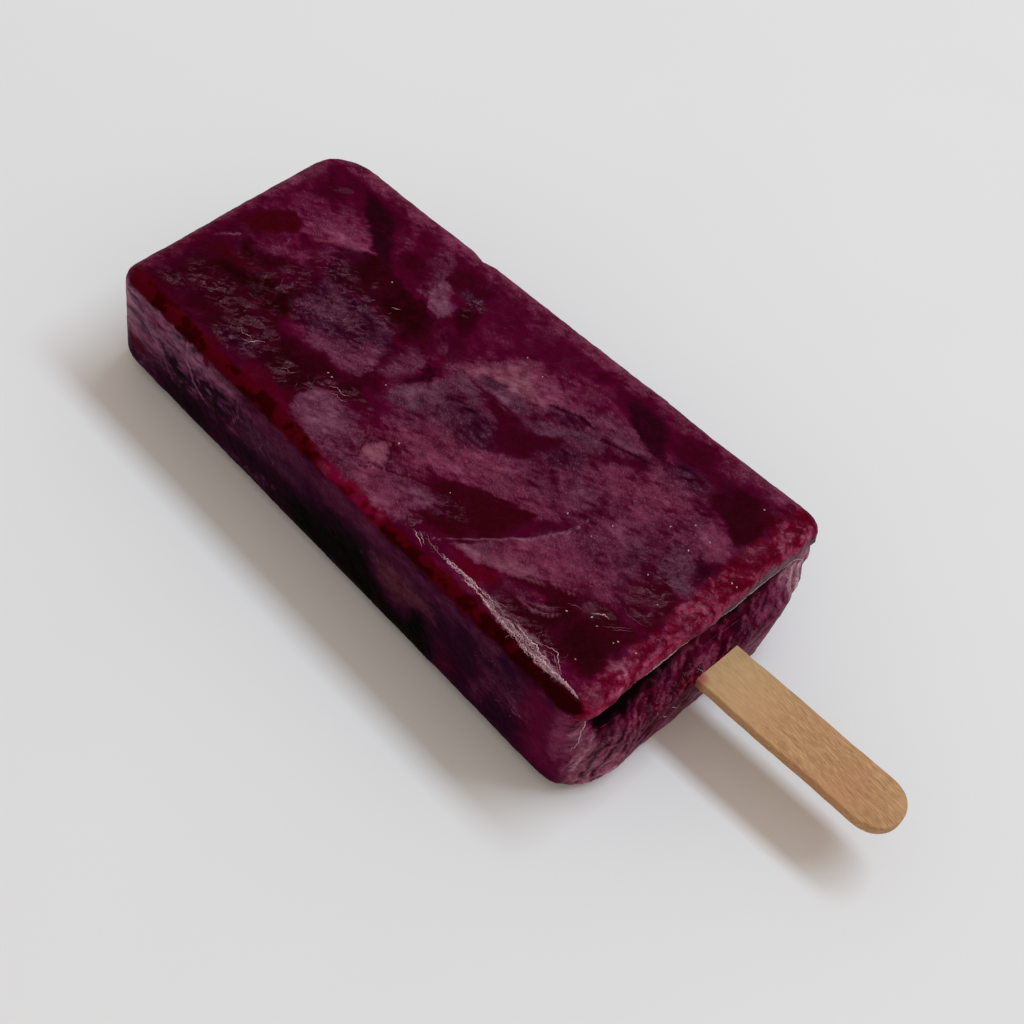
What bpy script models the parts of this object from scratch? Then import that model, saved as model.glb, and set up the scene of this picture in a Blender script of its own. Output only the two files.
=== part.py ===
"""An ice pop: a bar of frozen dark-fruit juice on a flat wooden stick, lying on its broad face.

Everything is in metres. The origin is on the bar's flat underside, at its middle, +X runs along
the bar toward the stick, +Y runs across it and +Z points up.

The bar is one closed skin made of rings of points. The rings start at the flat tip, follow the
drafted sides, roll over the rim at the stick end, cross the uneven freezing face there and go
down the slot that holds the stick.
"""

import math

import bmesh
import bpy

# The bar: a drafted mould casts it, so the tip is narrower and thinner than the stick end.
TIP_X = -0.0554
END_X = 0.0547
BAR_LENGTH = END_X - TIP_X
TIP_WIDTH = 0.0495
STICK_END_WIDTH = 0.0568
TIP_THICKNESS = 0.0223
STICK_END_THICKNESS = 0.0241
TOP_EDGE_RADIUS = 0.0023
UNDER_EDGE_RADIUS = 0.0036
TIP_TOP_RADIUS = 0.0037
TIP_UNDER_RADIUS = 0.0062
NEAR_TIP_CORNER_RADIUS = 0.0044
FAR_TIP_CORNER_RADIUS = 0.0090
RIM_RADIUS = 0.0024
RIM_CORNER_RADIUS = 0.0042
END_SKEW = 0.0009  # how far the stick end leans forward at its +Y side, and back at its -Y side
LEAST_RADIUS = 0.0004

# The stick end's +Y corner is rounder the nearer it is to the underside.
SLUMP_RADIUS = 0.0092
SLUMP_TOP = 0.70  # as shares of the thickness, where the slump starts and where it is full
SLUMP_FULL = 0.22

# The freezing face: a lip along the top, a groove under it and a mound that carries the stick.
# Heights are shares of the thickness. Sides run from -1 at the -Y wall to 1 at the +Y wall.
MOUND_RISE = 0.0033
MOUND_HEIGHTS = (0.74, 0.50)  # where the mound starts under the lip, and where it is full
MOUND_NEAR = (-0.98, -0.62)  # where it starts and is full, from each side
MOUND_FAR = (1.06, 0.62)
MOUND_TUCK = 0.10  # share of the rise that it loses again toward the underside
MOUND_TUCK_HEIGHT = 0.35
LIP_WAVE = 0.00040
LIP_HEIGHTS = (0.84, 0.93)
LIP_STEP = (-0.0085, -0.0110)
GROOVE_DEPTH = 0.0019
GROOVE_HEIGHT = 0.775
GROOVE_HALF_WIDTH = 0.060
GROOVE_DROP = 0.035  # how much lower it runs by the -Y corner
GROOVE_LEAST = 0.22  # share of the depth that is left at the +Y side
FOLD_CENTRE = (-0.0225, 0.0185)
FOLD_HEIGHT = 0.00035
FOLD_PITCH = 0.0027
FOLD_REACH = 0.014
FOLD_FADE = 0.006
PLEAT_HEIGHT = 0.00045
PLEAT_PITCH = 0.0042
PLEAT_SLOPE = 0.35
FOOT_RISE = 0.0009  # a small bulb at the -Y corner, down by the underside
END_BLEND = 0.0090  # length of side wall over which the freezing face's bulge dies away

# Small marks on the walls.
NOTCH_X = -0.0190
NOTCH_LENGTH = 0.0016
NOTCH_DEPTH = 0.0007
TOP_WAVE = 0.00012
TOP_WAVE_REACH = 0.0530  # distance from the middle at which the top's waves have died away

# The stick: a standard flat stick with full-round ends.
STICK_LENGTH = 0.1140
STICK_WIDTH = 0.0100
STICK_THICKNESS = 0.0021
STICK_TIP_X = 0.0939
STICK_Y = 0.0021
STICK_Z = 0.0119
STICK_YAW = math.radians(1.2)
STICK_YAW_X = 0.0700  # the stick crosses STICK_Y here
STICK_BEVEL = 0.00025
GAP = 0.0003

# Points round a ring of the bar, side by side from the middle of the underside.
UNDER_STEPS = 11
WALL_STEPS = 8
TOP_STEPS = 17
CORNER_STEPS = 6

TIP_RINGS = 11
RIM_RINGS = 5
FACE_RINGS = 17
FACE_CROWDING = 0.25  # how much closer together the face's rings are at its outer edge
INNER_SLOT_X = 0.030
WALL_STATIONS = (
    -0.0455,
    -0.0370,
    -0.0280,
    -0.0215,
    -0.0190,
    -0.0165,
    -0.0070,
    0.0040,
    0.0140,
    0.0240,
    0.0330,
    0.0400,
    0.0455,
    0.0490,
)
STICK_END_STEPS = 18


def smooth(low, high, value):
    """0 below low, 1 above high, and a smooth rise between; low may be above high."""
    share = min(max((value - low) / (high - low), 0.0), 1.0)
    return share * share * (3.0 - 2.0 * share)


def along(x):
    """Share of the way from the tip to the stick end."""
    return min(max((x - TIP_X) / BAR_LENGTH, 0.0), 1.0)


def half_width(x):
    return 0.5 * (TIP_WIDTH + (STICK_END_WIDTH - TIP_WIDTH) * along(x))


def thickness(x):
    return TIP_THICKNESS + (STICK_END_THICKNESS - TIP_THICKNESS) * along(x)


def round_inset(radius, distance):
    """Inset of a quarter-round of this radius, at a distance from the end it closes."""
    rest = max(radius - distance, 0.0)
    return radius - math.sqrt(max(radius * radius - rest * rest, 0.0))


def line(start, end, steps):
    return [
        (
            start[0] + (end[0] - start[0]) * i / steps,
            start[1] + (end[1] - start[1]) * i / steps,
        )
        for i in range(steps)
    ]


def arc(centre, radius, first_angle):
    points = []
    for i in range(CORNER_STEPS):
        angle = first_angle + 0.5 * math.pi * i / CORNER_STEPS
        points.append(
            (centre[0] + radius * math.cos(angle), centre[1] + radius * math.sin(angle))
        )
    return points


def rounded_loop(low_y, high_y, low_z, high_z, under_radius, top_radius):
    """A rectangle in Y and Z with rounded corners, counter-clockwise from the underside."""
    loop = line((low_y + under_radius, low_z), (high_y - under_radius, low_z), UNDER_STEPS)
    loop += arc((high_y - under_radius, low_z + under_radius), under_radius, -0.5 * math.pi)
    loop += line((high_y, low_z + under_radius), (high_y, high_z - top_radius), WALL_STEPS)
    loop += arc((high_y - top_radius, high_z - top_radius), top_radius, 0.0)
    loop += line((high_y - top_radius, high_z), (low_y + top_radius, high_z), TOP_STEPS)
    loop += arc((low_y + top_radius, high_z - top_radius), top_radius, 0.5 * math.pi)
    loop += line((low_y, high_z - top_radius), (low_y, low_z + under_radius), WALL_STEPS)
    loop += arc((low_y + under_radius, low_z + under_radius), under_radius, math.pi)
    return loop


def lip_wave(y):
    """An uneven wave along the lip, with one step where it drops back."""
    wave = math.sin(230.0 * y + 1.1) + 0.6 * math.sin(610.0 * y + 2.0)
    return wave + 0.35 * math.sin(1270.0 * y) - 0.9 * smooth(*LIP_STEP, y)


def slump(x, z):
    """How far the stick end's +Y corner draws in, past its rim's own rounding."""
    share = smooth(SLUMP_TOP, SLUMP_FULL, z / STICK_END_THICKNESS)
    radius = RIM_CORNER_RADIUS + (SLUMP_RADIUS - RIM_CORNER_RADIUS) * share
    distance = max(END_X - x, 0.0)
    return round_inset(radius, distance) - round_inset(RIM_CORNER_RADIUS, distance)


def mound(side, height):
    spread = smooth(*MOUND_NEAR, side) * smooth(*MOUND_FAR, side)
    rise = smooth(*MOUND_HEIGHTS, height) * spread
    return MOUND_RISE * (rise - MOUND_TUCK * smooth(MOUND_TUCK_HEIGHT, 0.0, height))


def groove(side, height):
    share = GROOVE_LEAST + (1.0 - GROOVE_LEAST) * smooth(0.75, -0.35, side)
    share *= smooth(-1.0, -0.86, side) * smooth(1.0, 0.8, side)
    middle = GROOVE_HEIGHT - GROOVE_DROP * smooth(-0.5, -0.9, side)
    off = (height - middle) / GROOVE_HALF_WIDTH
    return GROOVE_DEPTH * share * math.exp(-off * off)


def corner_folds(y, z, side, height):
    """Folds like ripples round a point, low down by the -Y corner."""
    reach = math.hypot(y - FOLD_CENTRE[0], z - FOLD_CENTRE[1])
    share = smooth(-0.30, -0.62, side) * smooth(0.66, 0.50, height)
    share *= smooth(FOLD_REACH + FOLD_FADE, FOLD_REACH, reach)
    return FOLD_HEIGHT * share * math.sin(2.0 * math.pi * reach / FOLD_PITCH)


def side_pleats(y, z, side, height):
    """Slanting pleats by the +Y corner."""
    share = smooth(0.72, 0.90, side) * smooth(0.95, 0.80, height)
    turns = (z + PLEAT_SLOPE * y) / PLEAT_PITCH
    return PLEAT_HEIGHT * share * math.sin(2.0 * math.pi * turns)


def end_relief(y, z):
    """How far the freezing face stands out past the flat end plane."""
    side = 2.0 * y / STICK_END_WIDTH
    height = z / STICK_END_THICKNESS
    relief = mound(side, height) - groove(side, height)
    relief += LIP_WAVE * smooth(*LIP_HEIGHTS, height) * lip_wave(y)
    relief += FOOT_RISE * smooth(-0.55, -0.85, side) * smooth(0.52, 0.15, height)
    return relief + corner_folds(y, z, side, height) + side_pleats(y, z, side, height)


def placed(x, y, z):
    """A point of the plain drafted block, moved by the skew, the end relief and the wall marks."""
    side = y / half_width(x)
    height = z / thickness(x)
    new_x = x + END_SKEW * along(x) ** 2 * 2.0 * y / STICK_END_WIDTH
    new_x += smooth(END_X - END_BLEND, END_X, x) * end_relief(y, z)
    high = smooth(0.75, 0.95, height) * smooth(TOP_WAVE_REACH, 0.85 * TOP_WAVE_REACH, abs(x))
    new_z = z + TOP_WAVE * high * math.sin(190.0 * x + 1.0) * math.cos(140.0 * y)
    off = (x - NOTCH_X) / NOTCH_LENGTH
    notch = smooth(0.80, 0.97, side) * smooth(0.35, 0.75, height) * math.exp(-off * off)
    new_y = y - NOTCH_DEPTH * notch - slump(x, z) * smooth(0.35, 0.85, side)
    return new_x, new_y, new_z


def tip_ring(distance):
    """The ring at a distance from the tip, where all four walls round into it."""
    x = TIP_X + distance
    under = round_inset(TIP_UNDER_RADIUS, distance)
    top = round_inset(TIP_TOP_RADIUS, distance)
    near = round_inset(NEAR_TIP_CORNER_RADIUS, distance)
    far = round_inset(FAR_TIP_CORNER_RADIUS, distance)
    loop = rounded_loop(
        near - half_width(x),
        half_width(x) - far,
        under,
        thickness(x) - top,
        max(UNDER_EDGE_RADIUS - 0.5 * under, LEAST_RADIUS),
        max(TOP_EDGE_RADIUS - 0.5 * top, LEAST_RADIUS),
    )
    return [placed(x, y, z) for y, z in loop]


def wall_ring(x):
    loop = rounded_loop(
        -half_width(x), half_width(x), 0.0, thickness(x), UNDER_EDGE_RADIUS, TOP_EDGE_RADIUS
    )
    return [placed(x, y, z) for y, z in loop]


def rim_loop(distance):
    """The rounded outline at a distance short of the stick end's flat plane."""
    x = END_X - distance
    inset = round_inset(RIM_RADIUS, distance)
    side = round_inset(RIM_CORNER_RADIUS, distance)
    return x, rounded_loop(
        side - half_width(x),
        half_width(x) - side,
        inset,
        thickness(x) - inset,
        UNDER_EDGE_RADIUS - 0.4 * inset,
        TOP_EDGE_RADIUS - 0.4 * inset,
    )


def stick_centre(x):
    return STICK_Y + math.tan(STICK_YAW) * (x - STICK_YAW_X)


def slot_loop(x):
    """The stick's outline in Y and Z, with the gap all round."""
    wide = 0.5 * STICK_WIDTH + GAP
    high = 0.5 * STICK_THICKNESS + GAP
    middle = stick_centre(x)
    return rounded_loop(
        middle - wide,
        middle + wide,
        STICK_Z - high,
        STICK_Z + high,
        LEAST_RADIUS,
        LEAST_RADIUS,
    )


def bar_rings():
    rings = []
    for i in range(TIP_RINGS):
        turn = 0.5 * math.pi * i / TIP_RINGS
        rings.append(tip_ring(FAR_TIP_CORNER_RADIUS * (1.0 - math.cos(turn))))
    rings += [wall_ring(x) for x in WALL_STATIONS]
    outline = []
    for i in range(RIM_RINGS + 1):
        turn = 0.5 * math.pi * i / RIM_RINGS
        x, outline = rim_loop(RIM_CORNER_RADIUS * (1.0 - math.sin(turn)))
        rings.append([placed(x, y, z) for y, z in outline])
    mouth = slot_loop(END_X)
    for i in range(1, FACE_RINGS + 1):
        share = i / FACE_RINGS
        share += FACE_CROWDING * (share * share - share)
        face = []
        for outer, inner in zip(outline, mouth):
            y = outer[0] + (inner[0] - outer[0]) * share
            z = outer[1] + (inner[1] - outer[1]) * share
            face.append(placed(END_X, y, z))
        rings.append(face)
    slot_end = STICK_TIP_X - STICK_LENGTH - GAP
    for x in (INNER_SLOT_X, slot_end):
        rings.append([(x, y, z) for y, z in slot_loop(x)])
    return rings


def ring_mesh(name, rings):
    """A closed mesh through rings of equally many points, with a flat cap on each end ring."""
    mesh = bpy.data.meshes.new(name)
    shell = bmesh.new()
    rows = [[shell.verts.new(point) for point in ring] for ring in rings]
    count = len(rings[0])
    for first, second in zip(rows, rows[1:]):
        for i in range(count):
            j = (i + 1) % count
            shell.faces.new((first[i], first[j], second[j], second[i]))
    shell.faces.new(rows[0])
    shell.faces.new(rows[-1])
    bmesh.ops.recalc_face_normals(shell, faces=shell.faces)
    shell.to_mesh(mesh)
    shell.free()
    return mesh


def stick_ring(inset, z):
    """The stick's outline in plan, with semicircular ends, at one height."""
    radius = 0.5 * STICK_WIDTH
    points = []
    for end_x, first_angle in (
        (STICK_TIP_X - radius, -0.5 * math.pi),
        (STICK_TIP_X - STICK_LENGTH + radius, 0.5 * math.pi),
    ):
        for i in range(STICK_END_STEPS + 1):
            angle = first_angle + math.pi * i / STICK_END_STEPS
            x = end_x + (radius - inset) * math.cos(angle)
            y = stick_centre(x) + (radius - inset) * math.sin(angle)
            points.append((x, y, STICK_Z + z))
    return points


def stick_rings():
    half = 0.5 * STICK_THICKNESS
    return [
        stick_ring(STICK_BEVEL, -half),
        stick_ring(0.3 * STICK_BEVEL, 0.3 * STICK_BEVEL - half),
        stick_ring(0.0, STICK_BEVEL - half),
        stick_ring(0.0, half - STICK_BEVEL),
        stick_ring(0.3 * STICK_BEVEL, half - 0.3 * STICK_BEVEL),
        stick_ring(STICK_BEVEL, half),
    ]


def material(name, color, roughness, subsurface):
    made = bpy.data.materials.new(name)
    made.use_nodes = True
    shader = made.node_tree.nodes["Principled BSDF"]
    shader.inputs["Base Color"].default_value = (*color, 1.0)
    shader.inputs["Roughness"].default_value = roughness
    shader.inputs["Subsurface Weight"].default_value = subsurface
    return made


def add_node(name, mesh, mat, parent):
    node = bpy.data.objects.new(name, mesh)
    node.data.materials.append(mat)
    for face in mesh.polygons:
        face.use_smooth = True
    parent.objects.link(node)
    return node


def main():
    for leftover in list(bpy.data.objects):
        bpy.data.objects.remove(leftover, do_unlink=True)
    ice_pop = bpy.data.collections.new("ice_pop")
    bpy.context.scene.collection.children.link(ice_pop)
    juice = material("frozen_juice", (0.085, 0.010, 0.035), 0.32, 0.35)
    wood = material("stick_wood", (0.62, 0.43, 0.26), 0.62, 0.05)
    add_node("ice_bar", ring_mesh("ice_bar", bar_rings()), juice, ice_pop)
    add_node("stick", ring_mesh("stick", stick_rings()), wood, ice_pop)


main()
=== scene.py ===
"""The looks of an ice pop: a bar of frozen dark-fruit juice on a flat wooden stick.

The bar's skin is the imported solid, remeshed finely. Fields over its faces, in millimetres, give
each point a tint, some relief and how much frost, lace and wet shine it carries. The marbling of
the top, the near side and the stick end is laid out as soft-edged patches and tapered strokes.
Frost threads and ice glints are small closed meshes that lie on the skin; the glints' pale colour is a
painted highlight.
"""

import itertools
import math
import random

import bmesh
import bpy
import numpy as np
from mathutils import Matrix, Vector
from mathutils.bvhtree import BVHTree

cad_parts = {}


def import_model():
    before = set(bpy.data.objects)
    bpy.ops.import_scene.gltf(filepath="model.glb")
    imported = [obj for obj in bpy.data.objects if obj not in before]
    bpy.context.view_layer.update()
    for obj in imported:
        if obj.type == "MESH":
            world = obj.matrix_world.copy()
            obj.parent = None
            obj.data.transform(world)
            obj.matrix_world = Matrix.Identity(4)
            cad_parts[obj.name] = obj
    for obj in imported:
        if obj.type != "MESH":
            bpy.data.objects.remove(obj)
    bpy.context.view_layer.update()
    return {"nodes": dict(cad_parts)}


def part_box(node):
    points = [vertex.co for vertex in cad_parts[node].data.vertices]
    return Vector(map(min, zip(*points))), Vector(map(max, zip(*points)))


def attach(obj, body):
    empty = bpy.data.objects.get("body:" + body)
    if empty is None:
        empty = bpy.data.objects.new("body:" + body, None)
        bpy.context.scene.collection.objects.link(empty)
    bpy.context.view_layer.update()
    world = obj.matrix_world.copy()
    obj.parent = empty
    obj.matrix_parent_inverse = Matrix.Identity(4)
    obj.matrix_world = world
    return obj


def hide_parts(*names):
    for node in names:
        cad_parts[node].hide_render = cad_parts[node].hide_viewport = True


MM = 0.001

# Camera: where it looks, from where, and its roll.
VIEW_TARGET = Vector((0.0122, 0.0051, 0.0))
VIEW_AZIMUTH = math.radians(32.42)
VIEW_ELEVATION = math.radians(53.48)
VIEW_ROLL = math.radians(15.05)
VIEW_DISTANCE = 0.3049
SENSOR_WIDTH = 36.0
LENS = 63.42

# Light: a wide soft box on the far side, and a warm even sky.
FLOOR_REACH = 3.0
FLOOR_TONE = 0.82
SKY_COLOR = (0.575, 0.507, 0.452)
KEY_PLACE = Vector((0.40, 1.00, 2.00))
KEY_AIM = Vector((0.0, 0.0, 0.0))
KEY_SIZE = (1.70, 0.42)
KEY_POWER = 23.9
KEY_COLOR = (0.840, 1.0, 1.150)

# Bar skin.
SKIN_VOXEL = 0.00038
SKIN_TRIANGLES = 190000
SLOT_CLEAR = 0.0012  # how far round the stick the slot's hidden walls are cleared away
SLOT_MOUTH_X = 0.0500

# Tones as they look under the studio light, 8-bit.
TONES = {
    "black": (40, 0, 9),
    "dark": (49, 0, 17),
    "maroon": (58, 1, 20),
    "crimson": (62, 0, 16),
    "cherry": (80, 6, 28),
    "red": (64, 1, 9),
    "blood": (38, 0, 1),
    "magenta": (93, 4, 38),
    "wine": (59, 3, 24),
    "purple": (46, 1, 21),
    "plum": (72, 7, 35),
    "berry": (83, 17, 45),
    "dusk": (58, 19, 38),
    "mauve": (83, 32, 52),
    "gray": (77, 39, 53),
    "rose": (96, 36, 56),
    "pink": (106, 46, 66),
    "lilac": (98, 54, 71),
    "pale": (118, 66, 79),
    "frost": (134, 102, 110),
    "white": (178, 150, 157),
    "night": (10, 0, 3),
    "ink": (24, 0, 15),
    "shade": (35, 5, 25),
    "slate": (52, 22, 39),
    "brown": (57, 24, 34),
    "haze": (81, 50, 65),
    "blush": (101, 67, 79),
}


def srgb_to_linear(values):
    share = np.clip(values / 255.0, 0.0, 1.0)
    return np.where(share <= 0.04045, share / 12.92, ((share + 0.055) / 1.055) ** 2.4)


def tone_color(name, gain=1.0):
    """A named tone as a linear colour, for a shader socket."""
    linear = srgb_to_linear(np.array(TONES[name], float)) * gain
    return (*linear.tolist(), 1.0)


def smooth(low, high, value):
    """0 below low, 1 above high, and a smooth rise between; low may be above high."""
    share = np.clip((value - low) / (high - low), 0.0, 1.0)
    return share * share * (3.0 - 2.0 * share)


# Noise fields.

OCTAVE_TURN = np.array(((0.80, 0.36, -0.48), (-0.60, 0.48, -0.64), (0.0, 0.80, 0.60)))


def lattice(cells, seed):
    """A fixed scattered value from 0 to 1 for each whole-number cell."""
    mixed = cells[:, 0] * 73856093 ^ cells[:, 1] * 19349663 ^ cells[:, 2] * 83492791
    mixed = (mixed ^ (seed + 1) * 2654435761) & 0xFFFFFFFF
    mixed = ((mixed ^ mixed >> 13) * 1274126177) & 0xFFFFFFFF
    mixed = ((mixed ^ mixed >> 16) * 668265263) & 0xFFFFFFFF
    return (mixed ^ mixed >> 15) / 0xFFFFFFFF


def noise(points, seed):
    """Smooth noise from 0 to 1 with lumps one unit across."""
    base = np.floor(points).astype(np.int64)
    part = points - base
    part = part * part * part * (part * (part * 6.0 - 15.0) + 10.0)
    total = np.zeros(len(points))
    for corner in itertools.product((0, 1), repeat=3):
        weight = np.prod(np.where(corner, part, 1.0 - part), axis=1)
        total += weight * lattice(base + corner, seed)
    return total


def clouds(points, size, seed, octaves=4):
    """Layered noise from 0 to 1, centred on 0.5, whose largest lumps have this size."""
    total = np.zeros(len(points))
    share = 1.0
    shares = 0.0
    scaled = points / size
    for octave in range(octaves):
        total += share * noise(scaled, seed + 31 * octave)
        shares += share
        share *= 0.55
        scaled = 2.03 * scaled @ OCTAVE_TURN
    return np.clip(0.5 + 1.6 * (total / shares - 0.5), 0.0, 1.0)


def ridges(points, size, seed, octaves=3):
    """Thin crooked lines: 1 on a line and 0 away from it."""
    return 1.0 - np.clip(9.0 * np.abs(clouds(points, size, seed, octaves) - 0.5), 0.0, 1.0)


def streaks(points, degrees, length, size, seed, octaves=2):
    """Noise drawn out along a direction in plan, and along the same slope up the sides."""
    turn = math.radians(degrees)
    along = points[:, 0] * math.cos(turn) + (points[:, 1] + points[:, 2]) * math.sin(turn)
    aside = (points[:, 1] + points[:, 2]) * math.cos(turn) - points[:, 0] * math.sin(turn)
    drawn = np.stack((along * size / length, aside, points[:, 1] - points[:, 2]), axis=1)
    return clouds(drawn, size, seed, octaves)


def warped(points, amount, size, seed):
    """The points shifted about by noise, to make straight edges ragged."""
    shift = [clouds(points, size, seed + 7 * axis, 3) - 0.5 for axis in range(3)]
    return points + 2.0 * amount * np.stack(shift, axis=1)


# Patches and strokes on a face, in its own two coordinates.


def segment_distance(flat, start, end):
    """Distance to a straight stretch, and how far along it the nearest point is, from 0 to 1."""
    run = np.subtract(end, start)
    share = np.clip((flat - start) @ run / (run @ run), 0.0, 1.0)
    return np.linalg.norm(flat - start - share[:, None] * run, axis=1), share


def outline_cover(flat, softness, outline):
    """1 inside an outline and 0 outside, with its edge softness; a point may state its own."""
    corners = [np.array(point[:2], float) for point in outline]
    edges = [point[2] if len(point) > 2 else softness for point in outline]
    nearest = np.full(len(flat), np.inf)
    blur = np.full(len(flat), softness)
    inside = np.zeros(len(flat), bool)
    for i, start in enumerate(corners):
        j = (i + 1) % len(corners)
        end = corners[j]
        distance, share = segment_distance(flat, start, end)
        closer = distance < nearest
        nearest = np.where(closer, distance, nearest)
        blur = np.where(closer, edges[i] + (edges[j] - edges[i]) * share, blur)
        crosses = (start[1] > flat[:, 1]) != (end[1] > flat[:, 1])
        rise = end[1] - start[1] if end[1] != start[1] else 1.0
        reach = start[0] + (flat[:, 1] - start[1]) * (end[0] - start[0]) / rise
        inside ^= crosses & (flat[:, 0] < reach)
    signed = np.where(inside, -nearest, nearest)
    return smooth(blur, -blur, signed)


def patch_cover(flat, softness, outline):
    """The outline's cover, worked out only for the points near it."""
    corners = np.array([point[:2] for point in outline], float)
    reach = max([softness] + [point[2] for point in outline if len(point) > 2])
    low = corners.min(axis=0) - reach
    high = corners.max(axis=0) + reach
    close = ((flat > low) & (flat < high)).all(axis=1)
    cover = np.zeros(len(flat))
    cover[close] = outline_cover(flat[close], softness, outline)
    return cover


def stroke_cover(flat, width, route):
    """1 on a route and 0 past its width, tapering toward both ends."""
    cover = np.zeros(len(flat))
    steps = len(route) - 1
    for i in range(steps):
        distance, share = segment_distance(flat, np.array(route[i]), np.array(route[i + 1]))
        along = (i + share) / steps
        reach = width * (0.25 + 0.75 * np.sqrt(np.clip(4.0 * along * (1.0 - along), 0.0, 1.0)))
        cover = np.maximum(cover, smooth(reach, 0.35 * reach, distance))
    return cover


def spot_cover(flat, spots):
    """The strongest of several soft oval spots: (x, y, half length, half width, degrees, amount)."""
    cover = np.zeros(len(flat))
    for x, y, long_reach, short_reach, degrees, amount in spots:
        turn = math.radians(degrees)
        away = flat - (x, y)
        forward = (away[:, 0] * math.cos(turn) + away[:, 1] * math.sin(turn)) / long_reach
        aside = (away[:, 1] * math.cos(turn) - away[:, 0] * math.sin(turn)) / short_reach
        cover = np.maximum(cover, amount * smooth(1.25, 0.45, np.hypot(forward, aside)))
    return cover


class Paint:
    """What a face carries at each point: tint, relief in millimetres, lace, frost, wet, grain."""

    def __init__(self, points, tone):
        self.tint = np.tile(np.array(TONES[tone], float), (len(points), 1))
        self.relief = np.zeros(len(points))
        self.lace = np.zeros(len(points))
        self.frost = np.zeros(len(points))
        self.wet = np.full(len(points), 0.5)
        self.grain = np.ones(len(points))

    def mix(self, tone, cover):
        self.tint += cover[:, None] * (np.array(TONES[tone], float) - self.tint)

    def brighten(self, amount):
        """Scales the tint: 0 leaves it as it is, 0.1 is about a tenth brighter."""
        self.tint *= np.exp(amount)[:, None]

    def lift(self, amount):
        """Adds the same milky amount to red, green and blue; less than 0 clears them."""
        self.tint += amount[:, None]

    def patches(self, flat, table):
        for tone, strength, softness, outline in table:
            self.mix(tone, strength * patch_cover(flat, softness, outline))

    def strokes(self, flat, table):
        for tone, strength, width, relief, route in table:
            cover = stroke_cover(flat, width, route)
            self.mix(tone, strength * cover)
            self.relief += relief * cover


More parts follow.
